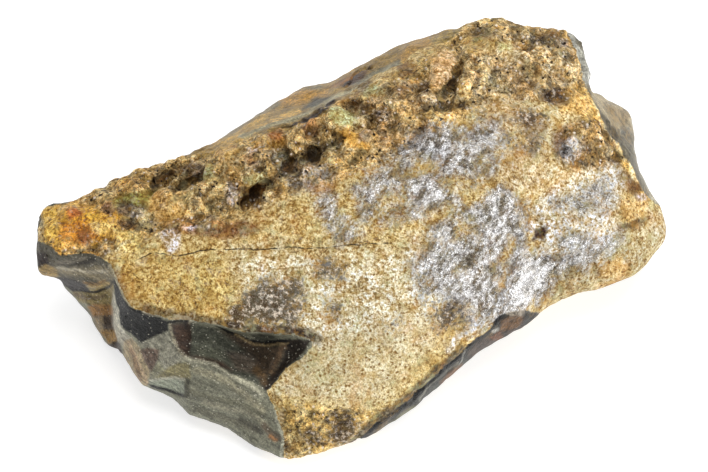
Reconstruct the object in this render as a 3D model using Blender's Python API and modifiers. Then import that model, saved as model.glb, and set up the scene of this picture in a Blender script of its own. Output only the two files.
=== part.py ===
"""A broken fossil triceratops tooth: one stone, lying on its flat underside.

The side that shows is drawn as lines on a board that leans back, the way the stone is looked at: its
outline, the edges of its fractures, its crests and its hollows. Each point is (across, up, toward) in
millimetres, up and across the board and out of it. The sides that are hidden are drawn as (along, back,
height) on the floor. Triangles are stretched through the lines, worn between the sharp edges, given lumps
and pits, and laid down.
"""

import math
import random

import bmesh
import bpy
import numpy
from mathutils import Matrix, Vector, noise
from mathutils.bvhtree import BVHTree
from mathutils.geometry import delaunay_2d_cdt, intersect_point_line
from mathutils.kdtree import KDTree

MM = 0.001

# How the board stands: the eye is this far from its middle, and the middle is this high off the floor.
EYE_DISTANCE = 164.0
BOARD_MIDDLE = (11.8, 7.87)
MIDDLE_HEIGHT = 4.94
LOOKED_DOWN_AT = 50.0

# Spacing of the points that the two skins are stretched through, and radius of the edge where they meet.
SKIN_SPACING = 0.40
OUTLINE_SPACING = 0.30
EDGE_RADIUS = 0.32
EDGE_ROW = 0.11

# Wear on the skins, and then on the solid stone, whose faces are made even before it is roughened.
SKIN_WEAR = 3
STONE_WEAR = 1
EVEN_SPACING = 0.10
TRIANGLES = 9800
SOLE_SNAP = 0.05

# Height and size of the roughness: fine grain, low waves on the hidden sides, and the rubble of the ridge.
# The rubble's stones are bent by an amount over a distance, one way for each shift.
GRAIN = (0.04, 0.8)
WAVES = (0.16, 2.2)
RUBBLE = (0.42, 0.75)
RUBBLE_LEVEL = 0.35
RUBBLE_BEND = (0.35, 0.9)
BEND_SHIFTS = (Vector((0.0, 0.0, 0.0)), Vector((7.3, 0.0, 0.0)), Vector((0.0, 5.9, 0.0)))
RUBBLE_FADE = 0.5

# The outline, clockwise from the nose.
OUTLINE = [
    (1.20, 7.73, -0.6), (1.23, 8.47, -0.8), (1.40, 8.80, -0.9), (1.67, 8.97, -1.0), (2.60, 9.07, -1.1),
    (2.93, 9.33, -1.2), (3.60, 9.63, -1.2), (4.00, 9.87, -1.3), (5.07, 10.27, -1.6), (6.27, 10.60, -1.8),
    (6.83, 10.87, -2.6), (7.73, 11.37, -3.6), (8.53, 11.90, -4.1), (9.50, 12.53, -4.6),
    (10.20, 12.90, -4.7), (11.00, 13.00, -4.2), (11.67, 13.40, -3.8), (12.40, 13.80, -3.8),
    (13.33, 14.27, -3.7), (14.27, 14.53, -3.5), (14.73, 14.73, -3.4), (15.27, 14.83, -3.3),
    (15.67, 15.07, -3.1), (16.33, 15.20, -3.0), (16.73, 15.23, -3.0), (17.10, 15.07, -2.9),
    (17.50, 14.90, -2.8), (18.17, 14.80, -2.8), (18.83, 14.83, -2.9), (19.20, 14.60, -3.1),
    (19.50, 14.27, -3.3), (19.67, 13.40, -3.6), (19.70, 12.80, -3.6), (20.10, 12.53, -4.2),
    (20.73, 12.20, -4.8), (21.10, 11.93, -5.0), (21.17, 10.73, -4.6), (21.33, 10.00, -4.0),
    (21.67, 9.40, -3.6), (22.07, 8.80, -3.4), (22.27, 8.07, -3.4), (22.23, 7.73, -3.4),
    (21.83, 7.27, -3.3), (21.53, 6.83, -3.0), (21.13, 6.50, -2.7), (20.50, 6.28, -2.5),
    (20.00, 6.08, -2.4), (19.50, 6.00, -2.3), (19.03, 5.85, -2.2), (18.50, 5.63, -2.0), (18.03, 5.33, -1.9),
    (17.43, 4.80, -1.8), (16.90, 4.53, -1.7), (16.33, 4.20, -1.6), (15.93, 3.97, -1.5),
    (15.33, 3.43, -1.4), (14.73, 2.93, -1.2), (13.93, 2.23, -1.0), (13.50, 1.90, -0.9),
    (13.00, 1.57, -0.6), (12.33, 1.17, -0.3), (11.50, 0.87, 0.1), (10.67, 0.57, 0.4), (10.00, 0.40, 0.6),
    (9.47, 0.43, 0.5), (8.90, 0.65, 0.3), (8.33, 0.90, -0.1), (7.93, 1.23, -0.3), (7.40, 1.53, -0.5),
    (6.67, 1.77, -0.6), (6.33, 1.90, -0.7), (6.10, 2.13, -0.7), (5.73, 2.47, -0.8), (5.33, 2.67, -0.8),
    (4.70, 2.90, -1.0), (4.43, 3.33, -1.1), (4.20, 3.73, -1.3), (4.03, 4.00, -1.6), (3.77, 4.10, -2.6),
    (3.47, 4.30, -3.0), (3.23, 4.73, -3.3), (2.93, 5.30, -3.6), (2.67, 5.57, -3.7), (2.40, 5.87, -3.7),
    (2.10, 6.17, -3.5), (1.97, 6.40, -3.0), (1.83, 6.47, -1.6), (1.40, 6.50, -1.2), (1.23, 6.73, -1.0),
    (1.20, 7.20, -0.8),
]

# Edge along which the tan skin has broken off, from the nose over the hollow to the lowest corner.
BREAK_EDGE = [
    (1.20, 7.73, -0.6), (1.70, 7.50, 0.1), (2.00, 7.20, 0.35), (2.50, 7.27, 0.5), (2.93, 7.30, 0.6),
    (3.33, 7.17, 0.75), (3.67, 6.95, 0.9), (3.83, 6.60, 1.0), (4.03, 6.13, 1.1), (4.23, 5.73, 1.2),
    (4.43, 5.45, 1.25), (4.83, 5.33, 1.3), (5.63, 5.10, 1.35), (6.33, 5.07, 1.4), (7.33, 4.87, 1.45),
    (8.10, 4.67, 1.45), (9.00, 4.63, 1.45), (9.67, 4.60, 1.4), (10.37, 4.40, 1.35), (10.43, 4.20, 1.3),
    (10.00, 3.77, 1.2), (9.50, 3.43, 1.15), (9.20, 3.00, 1.05), (8.88, 2.67, 0.95), (9.10, 2.28, 0.9),
    (9.27, 1.70, 0.85), (9.45, 1.15, 0.8), (9.47, 0.43, 0.5),
]

# Fractures of the broken end: the lip under the nose and the step below it, the edge of the dark facet and
# the step beside it, small facets, the hollow under the tan edge, and the ridge that parts it from the
# smooth grey face.
NOSE_LIP = [
    (1.83, 6.47, -1.6), (2.20, 6.45, -1.0), (2.80, 6.28, -0.6), (3.15, 6.12, -0.5), (3.65, 6.28, -0.1),
]
UNDER_NOSE = [
    (1.97, 6.40, -3.0), (2.40, 6.15, -2.8), (2.80, 6.05, -2.6), (3.12, 5.97, -2.4), (3.64, 6.14, -2.0),
]
STRIP_EDGE = [
    (3.65, 6.28, -0.1), (3.80, 5.90, -0.1), (3.77, 5.50, -0.3), (3.86, 4.90, -0.6), (4.03, 4.00, -1.6),
]
BESIDE_STRIP = [
    (3.64, 6.14, -2.0), (3.70, 5.88, -2.2), (3.67, 5.50, -2.4), (3.75, 4.90, -2.5), (3.92, 4.40, -2.4),
]
DARK_FACET = [
    (3.83, 6.60, 1.0), (3.97, 5.68, 0.25), (4.01, 4.92, -0.1), (4.73, 4.23, 0.05), (5.67, 4.70, 0.8),
]
FACET_TOP = [(5.67, 4.70, 0.8), (5.63, 5.10, 1.35)]
BROWN_FACET = [(5.67, 4.70, 0.8), (5.88, 4.20, 0.75), (6.10, 3.85, 0.95)]
PINK_SIDE = [
    (4.01, 4.92, -0.1), (4.37, 4.35, -0.4), (4.73, 4.23, 0.05), (5.00, 3.30, -0.1), (4.70, 2.90, -1.0),
]
SCOOP_EDGE = [
    (5.00, 3.30, -0.1), (5.40, 3.45, 0.35), (5.88, 3.12, 0.15), (6.25, 2.92, 0.4), (6.22, 2.50, 0.1),
]
SCOOP_TAIL = [(6.22, 2.50, 0.1), (6.10, 2.13, -0.7)]
HOLLOW_LIP = [
    (6.10, 3.85, 0.95), (7.16, 3.60, 1.1), (8.01, 2.97, 1.1), (8.55, 2.78, 1.0), (8.88, 2.67, 0.95),
]
HOLLOW_WALL = [(9.46, 4.28, 0.85), (9.15, 3.75, 0.8), (8.88, 3.30, 0.75)]
HOLLOW_FLOOR = [(6.45, 4.35, 0.45), (7.10, 4.15, 0.2), (8.00, 3.80, 0.05), (8.60, 3.75, 0.15)]
OVERHANG = [
    (6.60, 4.93, 0.95), (7.35, 4.78, 0.5), (8.10, 4.59, 0.35), (9.00, 4.55, 0.4), (9.75, 4.47, 0.7),
]
BREAK_SPOTS = [
    (5.33, 3.98, 0.45), (5.37, 3.58, 0.35), (5.60, 2.85, -0.45), (4.55, 3.30, -0.6), (7.60, 2.35, 0.4),
    (8.50, 1.75, 0.4), (7.00, 2.60, 0.45), (8.30, 2.40, 0.75), (9.72, 4.15, 0.65), (9.35, 3.50, 0.55),
    (8.70, 4.25, 0.35), (2.90, 5.60, -2.7), (3.30, 5.00, -2.8), (2.30, 6.85, -0.1), (1.60, 6.95, -0.7),
    (3.30, 6.60, 0.2),
]

# The rough ridge along the top: its crest against the grey crown face, its highest run and its foot.
CREST = [
    (6.27, 10.60, -1.8), (6.90, 10.57, -1.0), (7.50, 10.85, -0.9), (8.35, 11.20, -0.8), (9.35, 11.50, -0.7),
    (10.20, 11.70, -0.7), (11.40, 12.45, -0.9), (12.50, 13.00, -1.1), (13.50, 13.45, -1.4),
    (14.65, 14.05, -1.8), (15.27, 14.83, -3.3),
]
RIDGE_TOP = [
    (2.00, 8.25, 0.0), (3.15, 8.35, 0.3), (4.20, 9.00, 0.1), (5.10, 9.20, 0.2), (5.85, 9.25, 0.3),
    (6.85, 9.60, 0.4), (7.85, 10.20, 0.5), (8.85, 10.75, 0.6), (10.00, 11.00, 0.6), (11.20, 11.60, 0.5),
    (12.35, 12.15, 0.3), (13.35, 12.60, 0.1), (14.35, 13.10, -0.3), (15.70, 13.60, -0.7),
    (17.00, 13.80, -1.1), (18.35, 13.80, -1.7),
]
RIDGE_FOOT = [
    (3.85, 7.60, 0.9), (5.00, 7.80, 1.0), (6.35, 7.80, 1.1), (7.70, 8.25, 1.15), (8.70, 8.90, 1.15),
    (10.00, 9.40, 1.2), (11.50, 9.80, 1.1), (12.70, 10.25, 1.0), (14.00, 10.75, 0.8),
    (15.00, 11.60, 0.4), (15.85, 12.25, 0.0), (17.35, 12.55, -0.6), (19.00, 12.55, -1.5),
]
CROWN_SHOULDER = [(9.00, 11.95, -3.2), (10.65, 12.45, -3.3), (12.10, 13.20, -2.8)]

# The broad tan face swells a little, and two short valleys are worn into its far end.
FACE_SPOTS = [
    (6.65, 6.55, 1.5), (9.35, 6.75, 1.7), (12.00, 7.75, 1.7), (10.00, 8.20, 1.5), (13.00, 5.60, 1.7),
    (14.60, 7.85, 1.5), (14.70, 9.50, 1.2), (16.60, 9.70, 0.75), (11.00, 2.90, 1.45), (10.10, 1.40, 1.05),
    (12.70, 3.75, 1.45), (14.30, 4.75, 1.25), (15.60, 5.80, 1.05), (16.30, 7.30, 1.0),
    (16.90, 8.30, 0.75), (17.30, 9.60, 0.40), (18.10, 11.30, -0.35), (19.00, 11.20, -0.5),
    (20.00, 11.10, -1.0), (20.20, 8.60, -1.15), (21.05, 9.00, -1.7), (19.00, 7.90, -0.35),
    (20.00, 7.60, -1.1), (20.90, 7.70, -1.8), (19.80, 6.60, -1.5), (18.90, 6.35, -1.1),
    (21.70, 7.90, -2.7),
]
FAR_VALLEY = [
    (20.53, 9.90, -1.8), (19.67, 9.63, -1.35), (18.83, 9.23, -0.95), (18.17, 8.67, -0.7),
    (17.87, 8.10, -0.5),
]
LOW_VALLEY = [(18.33, 7.00, -0.85), (17.67, 6.40, -0.65), (17.05, 5.85, -0.35)]

# Thin dark side below the tan face, and the dark end that shows past its far edge.
LOWER_EDGE = [
    (11.50, 0.87, 0.1), (12.17, 1.47, 0.6), (12.77, 2.00, 0.65), (13.37, 2.37, 0.65), (14.30, 3.23, 0.65),
    (15.37, 4.13, 0.55), (16.33, 4.97, 0.4), (16.93, 5.60, -0.1), (17.50, 5.50, -0.5), (18.03, 5.33, -1.9),
]
LOWER_BEVEL = [
    (12.77, 1.63, 0.1), (13.97, 2.47, -0.1), (15.13, 3.60, -0.3), (16.20, 4.45, -0.6),
    (17.17, 5.17, -0.7),
]
FAR_EDGE = [
    (18.83, 14.83, -2.9), (19.12, 14.40, -2.5), (19.37, 13.65, -2.4), (19.55, 12.87, -2.3),
    (19.85, 12.30, -2.2), (20.37, 11.33, -2.2), (20.80, 10.73, -2.3), (21.13, 10.13, -2.4),
    (21.40, 9.40, -2.6), (22.07, 8.80, -3.4),
]

# Knobs and holes of the ridge, as (across, up, radius, height or depth), and its gullies, as (half width,
# depth, places along it).
KNOBS = [
    (4.35, 9.60, 0.55, 0.30), (6.35, 10.03, 0.34, 0.38), (6.93, 10.00, 0.28, 0.32),
    (5.75, 9.07, 0.45, 0.32), (7.15, 9.40, 0.38, 0.32), (7.65, 9.90, 0.30, 0.25),
    (8.42, 9.87, 0.34, 0.45), (7.55, 10.55, 0.38, 0.25), (9.00, 11.05, 0.30, 0.30),
    (10.00, 11.15, 0.32, 0.38), (8.85, 10.25, 0.25, 0.28), (7.75, 8.90, 0.34, 0.36),
    (11.00, 11.75, 0.50, 0.42), (10.15, 9.87, 0.50, 0.26), (11.15, 10.40, 0.38, 0.25),
    (12.00, 10.10, 0.30, 0.25), (13.00, 12.25, 0.45, 0.32), (12.15, 12.40, 0.30, 0.25),
    (13.35, 11.55, 0.40, 0.26), (14.55, 13.25, 0.40, 0.34), (14.35, 12.05, 0.38, 0.26),
    (15.50, 12.90, 0.38, 0.26), (16.65, 14.40, 0.65, 0.30), (15.65, 13.90, 0.38, 0.20),
    (18.00, 14.25, 0.38, 0.20), (19.50, 11.55, 0.55, 0.30), (14.50, 11.25, 0.32, 0.25),
    (5.85, 10.40, 0.28, 0.25), (2.40, 8.50, 0.50, 0.15), (17.15, 5.35, 0.30, 0.26),
    (18.95, 10.95, 0.42, 0.22), (6.50, 8.95, 0.30, 0.22),
]
HOLES = [
    (8.43, 10.50, 0.22, 0.45), (10.47, 11.35, 0.22, 0.50), (11.43, 11.07, 0.24, 0.45),
    (12.80, 11.27, 0.20, 0.45), (11.70, 12.07, 0.28, 0.50), (13.97, 12.90, 0.26, 0.45),
    (17.60, 14.35, 0.24, 0.25), (4.30, 8.75, 0.30, 0.25), (4.20, 8.35, 0.25, 0.25),
    (18.65, 12.55, 0.40, 0.22), (3.60, 7.75, 0.18, 0.25), (12.40, 11.60, 0.24, 0.30),
]
GULLIES = [
    (0.25, 0.75, [(5.05, 9.45), (5.60, 9.88), (6.15, 10.38)]), (0.20, 0.60, [(6.08, 9.62), (6.80, 9.92)]),
    (0.30, 0.75, [(8.12, 8.88), (8.35, 9.15), (8.72, 9.62)]),
    (0.30, 0.70, [(9.25, 11.05), (9.42, 10.65), (9.75, 10.15)]),
    (0.26, 0.55, [(10.05, 10.40), (10.55, 10.95)]),
    (0.17, 0.60, [(14.80, 12.15), (14.93, 12.75), (15.25, 13.60)]),
    (0.16, 0.30, [(5.30, 8.55), (6.10, 8.47), (7.45, 8.68)]),
    (0.14, 0.25, [(12.85, 10.95), (13.80, 11.25)]),
    (0.32, 0.25, [(18.00, 7.75), (17.95, 8.05), (17.45, 8.85)]),
    (0.28, 0.14, [(18.35, 7.18), (18.85, 7.05)]), (0.26, 0.12, [(20.70, 8.42), (21.20, 8.35)]),
]

# The hidden sides: a belly below the crown face, facets under the nose and the far end, and the flat sole.
BELLY = [
    (-8.60, 2.95, 2.6), (-6.40, 4.40, 2.8), (-3.60, 6.60, 2.3), (-0.80, 7.90, 2.4), (1.60, 8.60, 3.0),
    (4.60, 8.50, 3.6), (7.40, 8.00, 3.2), (9.20, 6.90, 1.7),
]
SOLE = [
    (-1.95, -5.15), (0.50, -4.20), (2.60, -2.20), (4.50, 0.15), (6.30, 1.90), (8.60, 2.95), (9.50, 4.40),
    (8.60, 6.10), (5.00, 6.90), (1.60, 7.20), (-1.20, 6.60), (-4.20, 5.10), (-6.90, 3.60), (-8.80, 1.95),
    (-8.05, 0.25), (-6.80, -1.85), (-5.60, -2.90), (-3.70, -4.20),
]

SHARP_LINES = [
    BREAK_EDGE, NOSE_LIP, UNDER_NOSE, STRIP_EDGE, BESIDE_STRIP, DARK_FACET, FACET_TOP, BROWN_FACET,
    PINK_SIDE, SCOOP_EDGE, SCOOP_TAIL, HOLLOW_LIP, HOLLOW_WALL, OVERHANG, LOWER_EDGE, LOWER_BEVEL,
    FAR_EDGE, CREST,
]
SOFT_LINES = [RIDGE_TOP, RIDGE_FOOT, CROWN_SHOULDER, FAR_VALLEY, LOW_VALLEY, HOLLOW_FLOOR]

# The broken end, inside its edge and the outline, keeps its flat facets.
BROKEN_END = BREAK_EDGE + OUTLINE[OUTLINE.index(BREAK_EDGE[-1]) + 1:]

LEAN = Matrix.Rotation(math.radians(90.0 - LOOKED_DOWN_AT), 3, "X")


def from_board(point):
    """A point drawn on the board, seen in perspective, as (right, up, toward) from its middle."""
    across, up, toward = point
    nearer = 1.0 - toward / EYE_DISTANCE
    return Vector(((across - BOARD_MIDDLE[0]) * nearer, (up - BOARD_MIDDLE[1]) * nearer, toward))


def flat_on_board(across, up):
    """The same for a place on the board itself, as (right, up)."""
    return from_board((across, up, 0.0)).xy


def to_floor(point):
    """Board space to floor space, where the stone lies."""
    return LEAN @ point + Vector((0.0, 0.0, MIDDLE_HEIGHT))


def from_floor(point):
    """Floor space to board space."""
    return LEAN.inverted() @ (Vector(point) - Vector((0.0, 0.0, MIDDLE_HEIGHT)))


def divided(line, spacing, closed=False):
    """A line's points with more between them, so that none are further apart than the spacing."""
    ends = list(zip(line, line[1:] + line[:1] if closed else line[1:]))
    points = []
    for start, end in ends:
        steps = max(1, math.ceil((end - start).length / spacing))
        points += [start.lerp(end, step / steps) for step in range(steps)]
    return points if closed else points + [line[-1]]


def stretched(ring, lines, spots):
    """Triangles stretched over a closed ring, through the lines and spots inside it."""
    points = list(ring)
    edges = []
    for line in lines:
        first = len(points)
        points += line
        edges += [(index, index + 1) for index in range(first, len(points) - 1)]
    points += spots
    flat = [point.xy for point in points]
    _, _, faces, sources, _, _ = delaunay_2d_cdt(flat, edges, [list(range(len(ring)))], 1, 1e-5)
    corners = [points[source[0]] for source in sources]
    return corners, faces


def nearness(points):
    """A tree that finds the nearest of some points on the board, whatever their depth."""
    tree = KDTree(len(points))
    for index, point in enumerate(points):
        tree.insert((point.x, point.y, 0.0), index)
    tree.balance()
    return tree


def drop(tree, x, y):
    """The point of a surface at a place on the board, or None beside it."""
    return tree.ray_cast(Vector((x, y, 100.0)), Vector((0.0, 0.0, -1.0)))[0]


def edge_row(surface, ring, lines):
    """Points of a surface in a row just inside its ring, clear of the lines that run out to it."""
    tree = BVHTree.FromPolygons(*surface)
    near = nearness([point for line in lines for point in line])
    found = []
    for before, point, after in zip(ring[-1:] + ring[:-1], ring, ring[1:] + ring[:1]):
        along = (after - before).xy.normalized()
        x = point.x + along.y * EDGE_ROW
        y = point.y - along.x * EDGE_ROW
        hit = drop(tree, x, y)
        if hit and near.find((x, y, 0.0))[2] > 0.6 * EDGE_ROW:
            found.append(hit)
    return found


def scattered(surface, lines, spacing):
    """Points in uneven rows over a surface, clear of the lines."""
    corners, _ = surface
    tree = BVHTree.FromPolygons(*surface)
    near = nearness([point for line in lines for point in line])
    chance = random.Random(4101)
    low = [min(corner[axis] for corner in corners) for axis in (0, 1)]
    high = [max(corner[axis] for corner in corners) for axis in (0, 1)]
    row_height = spacing * math.sqrt(0.75)
    found = []
    for row in range(math.ceil((high[1] - low[1]) / row_height)):
        for column in range(math.ceil((high[0] - low[0]) / spacing)):
            x = low[0] + (column + 0.5 * (row % 2) + chance.uniform(-0.2, 0.2)) * spacing
            y = low[1] + row * row_height + chance.uniform(-0.2, 0.2) * spacing
            hit = drop(tree, x, y)
            if hit and near.find((x, y, 0.0))[2] > 0.62 * spacing:
                found.append(hit)
    return found


def within(ring, place):
    """Whether a place on the board is inside a closed ring."""
    odd = False
    for start, end in zip(ring, ring[1:] + ring[:1]):
        if (start.y > place.y) != (end.y > place.y):
            share = (place.y - start.y) / (end.y - start.y)
            odd ^= place.x < start.x + share * (end.x - start.x)
    return odd


def skin(ring, sharp, soft, spots, fresh):
    """Points and triangles of one skin in board space, with the numbers of the points that wear spares.

    Those are the outline's, the sharp lines' and all inside the ring of a fresh break.
    """
    surface = stretched([from_board(point) for point in OUTLINE], sharp + soft, spots)
    sharp = [divided(line, SKIN_SPACING) for line in sharp]
    soft = [divided(line, SKIN_SPACING) for line in soft]
    row = edge_row(surface, ring, sharp + soft)
    loose = row + spots + scattered(surface, [ring, row, spots] + sharp + soft, SKIN_SPACING)
    points, faces = stretched(ring, sharp + soft, loose)
    edges = {tuple(point) for line in [ring] + sharp for point in line}
    spared = set()
    for index, point in enumerate(points):
        if tuple(point) in edges or within(fresh, point):
            spared.add(index)
    return points, faces, spared


def round_edge(ring, points, side):
    """Swells a skin away from the other one, by no more than the edge's radius."""
    near = nearness(divided(ring, EDGE_ROW / 2.0, closed=True))
    for point in points:
        reach = min(1.0, near.find((point.co.x, point.co.y, 0.0))[2] / EDGE_RADIUS)
        point.co.z += side * EDGE_RADIUS * math.sqrt(1.0 - (1.0 - reach) ** 2)


def sewn_skins():
    """The skin that shows and the hidden one, worn and joined along the outline, in board space."""
    sharp = [[from_board(point) for point in line] for line in SHARP_LINES]
    soft = [[from_board(point) for point in line] for line in SOFT_LINES]
    spots = [from_board(point) for point in BREAK_SPOTS + FACE_SPOTS]
    sole = [from_floor((along, back, 0.0)) for along, back in SOLE]
    belly = [from_floor(point) for point in BELLY]
    ring = divided([from_board(point) for point in OUTLINE], OUTLINE_SPACING, closed=True)
    shown = skin(ring, sharp, soft, spots, [from_board(point) for point in BROKEN_END])
    hidden = skin(ring, [sole + sole[:1]], [belly], [], sole)
    mesh = bmesh.new()
    shared = [mesh.verts.new(point) for point in ring]
    for side, (points, faces, spared) in ((1, shown), (-1, hidden)):
        own = [mesh.verts.new(point) for point in points[len(ring):]]
        verts = shared + own
        for face in faces:
            mesh.faces.new([verts[index] for index in face][::side])
        round_edge(ring, own, side)
        free = [vert for index, vert in enumerate(verts) if index not in spared]
        for _ in range(SKIN_WEAR):
            bmesh.ops.smooth_vert(mesh, verts=free, factor=0.5, use_axis_z=True)
    return mesh


def through_modifier(mesh, kind, **settings):
    """The mesh as one modifier leaves it."""
    data = bpy.data.meshes.new("shaping")
    mesh.to_mesh(data)
    mesh.free()
    item = bpy.data.objects.new("shaping", data)
    bpy.context.scene.collection.objects.link(item)
    modifier = item.modifiers.new("shaping", kind)
    for name, value in settings.items():
        setattr(modifier, name, value)
    result = bmesh.new()
    result.from_mesh(item.evaluated_get(bpy.context.evaluated_depsgraph_get()).to_mesh())
    bpy.data.objects.remove(item)
    return result


def dome(distance, radius):
    """Height share of a round knob at a distance from its middle."""
    reach = min(1.0, distance / radius)
    return (1.0 - reach * reach) ** 2


def gully_distance(place, route):
    """Distance on the board from a place to the nearest stretch of a gully."""
    nearest = math.inf
    for start, end in zip(route, route[1:]):
        on_line, share = intersect_point_line(place, start, end)
        on_line = start.lerp(end, min(1.0, max(0.0, share)))
        nearest = min(nearest, (place - on_line).length)
    return nearest


def ridge_relief(place, spots, routes):
    """Height of the ridge's knobs above its run, less its holes and gullies, at a place on the board."""
    height = 0.0
    for middle, radius, rise in spots:
        height += rise * dome((place - middle).length, radius)
    for half_width, depth, route in routes:
        height -= depth * dome(gully_distance(place, route), half_width)
    return height


def rubble(place):
    """Height of the ridge's rubble at a place: round stones, bent out of shape."""
    amount, size = RUBBLE_BEND
    bend = Vector([noise.noise(place / size + shift) for shift in BEND_SHIFTS]) * amount
    lump = noise.voronoi((place + bend) / RUBBLE[1])[0][0]
    return RUBBLE[0] * (RUBBLE_LEVEL - lump * lump)


def ridge_share(place):
    """One on the rough ridge, fading to nothing below its foot and above its crest."""
    foot = numpy.interp(place.x, *zip(*[from_board(point).xy for point in RIDGE_FOOT]))
    crest = numpy.interp(place.x, *zip(*[from_board(point).xy for point in CREST]))
    above = (place.y - foot) / RUBBLE_FADE
    below = (crest + RUBBLE_FADE / 2.0 - place.y) / RUBBLE_FADE
    return max(0.0, min(1.0, above, below))


def wear(mesh, fresh):
    """Rounds the whole stone a little but for its fresh break."""
    worn = [vert for vert in mesh.verts if not within(fresh, vert.co)]
    every_way = {"use_axis_x": True, "use_axis_y": True, "use_axis_z": True}
    for _ in range(STONE_WEAR):
        bmesh.ops.smooth_vert(mesh, verts=worn, factor=0.5, **every_way)


def roughen(mesh, ring):
    """Pushes the stone's surface in and out along its normals, by what each part of it is like.

    The push fades at the outline, whose own bumps are drawn.
    """
    near = nearness(divided(ring, EDGE_ROW, closed=True))
    spots = [(flat_on_board(x, y), radius, rise) for x, y, radius, rise in KNOBS]
    spots += [(flat_on_board(x, y), radius, -depth) for x, y, radius, depth in HOLES]
    routes = [(half, depth, [flat_on_board(x, y) for x, y in route]) for half, depth, route in GULLIES]
    mesh.normal_update()
    moves = []
    for vert in mesh.verts:
        place = vert.co
        shown = max(0.0, min(1.0, vert.normal.z * 3.0 + 0.5))
        push = GRAIN[0] * noise.noise(place / GRAIN[1])
        push += (1.0 - shown) * WAVES[0] * noise.noise(place / WAVES[1])
        rough = shown * ridge_share(place)
        if shown > 0.0:
            push += shown * ridge_relief(place.xy, spots, routes)
        if rough > 0.0:
            push += rough * rubble(place)
        reach = near.find((place.x, place.y, 0.0))[2] / EDGE_RADIUS
        moves.append(vert.normal * push * min(1.0, reach))
    for vert, move in zip(mesh.verts, moves):
        vert.co += move


def lay_down(mesh):
    """Moves the stone from board space to the floor, and presses its sole flat."""
    for vert in mesh.verts:
        vert.co = to_floor(vert.co)
        if vert.co.z < SOLE_SNAP:
            vert.co.z = 0.0


def stone_mesh():
    """The whole stone on the floor, in millimetres, with its flat sole at height zero."""
    mesh = through_modifier(sewn_skins(), "REMESH", mode="VOXEL", voxel_size=EVEN_SPACING)
    wear(mesh, [from_board(point) for point in BROKEN_END])
    roughen(mesh, [from_board(point) for point in OUTLINE])
    lay_down(mesh)
    bmesh.ops.triangulate(mesh, faces=mesh.faces)
    mesh = through_modifier(mesh, "DECIMATE", ratio=TRIANGLES / len(mesh.faces))
    for vert in mesh.verts:
        if vert.co.z < SOLE_SNAP / 2.0:
            vert.co.z = 0.0
    return mesh


def box_middle(mesh):
    """The middle of the stone's box, on the floor."""
    low = [min(vert.co[axis] for vert in mesh.verts) for axis in (0, 1)]
    high = [max(vert.co[axis] for vert in mesh.verts) for axis in (0, 1)]
    return Vector(((low[0] + high[0]) / 2.0, (low[1] + high[1]) / 2.0, 0.0))


def stone_material():
    """Tan weathered dentine."""
    material = bpy.data.materials.new("weathered_dentine")
    material.use_nodes = True
    shader = material.node_tree.nodes["Principled BSDF"]
    shader.inputs["Base Color"].default_value = (0.50, 0.34, 0.15, 1.0)
    shader.inputs["Roughness"].default_value = 0.6
    shader.inputs["Metallic"].default_value = 0.0
    return material


def build():
    """Clears the scene and puts the stone in a collection of its own."""
    for old in list(bpy.data.objects):
        bpy.data.objects.remove(old)
    mesh = stone_mesh()
    middle = box_middle(mesh)
    for vert in mesh.verts:
        vert.co = (vert.co - middle) * MM
    data = bpy.data.meshes.new("tooth")
    mesh.to_mesh(data)
    mesh.free()
    data.materials.append(stone_material())
    data.shade_smooth()
    data.set_sharp_from_angle(angle=math.radians(30.0))
    collection = bpy.data.collections.new("fossil_tooth")
    bpy.context.scene.collection.children.link(collection)
    collection.objects.link(bpy.data.objects.new("tooth", data))


build()
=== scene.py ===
import math

import bmesh
import bpy
import numpy as np
from mathutils import Matrix, Vector


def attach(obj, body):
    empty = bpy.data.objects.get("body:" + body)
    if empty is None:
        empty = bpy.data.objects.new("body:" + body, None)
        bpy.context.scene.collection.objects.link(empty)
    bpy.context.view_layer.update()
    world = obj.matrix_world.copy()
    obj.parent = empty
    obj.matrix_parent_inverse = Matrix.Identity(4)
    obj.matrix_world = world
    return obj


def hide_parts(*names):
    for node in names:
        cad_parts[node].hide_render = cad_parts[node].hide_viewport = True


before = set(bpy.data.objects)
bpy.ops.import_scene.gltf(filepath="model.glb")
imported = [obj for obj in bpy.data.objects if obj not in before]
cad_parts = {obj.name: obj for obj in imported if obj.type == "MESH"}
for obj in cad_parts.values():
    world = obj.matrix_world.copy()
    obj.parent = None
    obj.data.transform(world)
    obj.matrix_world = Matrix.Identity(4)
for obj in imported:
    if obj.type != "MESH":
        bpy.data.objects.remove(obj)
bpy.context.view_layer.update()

# The stone
# One broken fossil tooth, a natural stone: worn tan dentine under a rough ridge, grey enamel behind it and
# a dark break. Its surface is remeshed from the plain solid, finest on the side that shows, and weathered.
MM = 0.001

# The eye looks down at a point inside the stone. What it sees is drawn on a board that leans back, square
# to its line of sight, in millimetres across and up.
EYE_DISTANCE = 164.0
LOOKED_DOWN_AT = 50.0
AIM = np.array((-0.0213, -1.2604, 4.94))
BOARD_MIDDLE = (11.8, 7.87)
LEAN = Matrix.Rotation(math.radians(90.0 - LOOKED_DOWN_AT), 3, "X")
TO_EYE = np.array(LEAN.col[2])

# A ruled line fades toward its sides, between these shares of half its width.
LINE_FADES = (0.4, 1.6)

# The fine mesh, coarser past the stone's outline, where the faces turn away from the eye.
FINE = 0.075
FINE_TRIANGLES = 198000
COARSER_PAST_OUTLINE = 5.0
HIDDEN_STEPS = 10
SHOWN_FACING = (-0.22, -0.02)


def cooked(piece):
    """Replaces a piece's mesh by what its modifiers make of it."""
    raw = piece.data
    piece.data = bpy.data.meshes.new_from_object(piece.evaluated_get(bpy.context.evaluated_depsgraph_get()))
    piece.modifiers.clear()
    piece.vertex_groups.clear()
    bpy.data.meshes.remove(raw)


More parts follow.
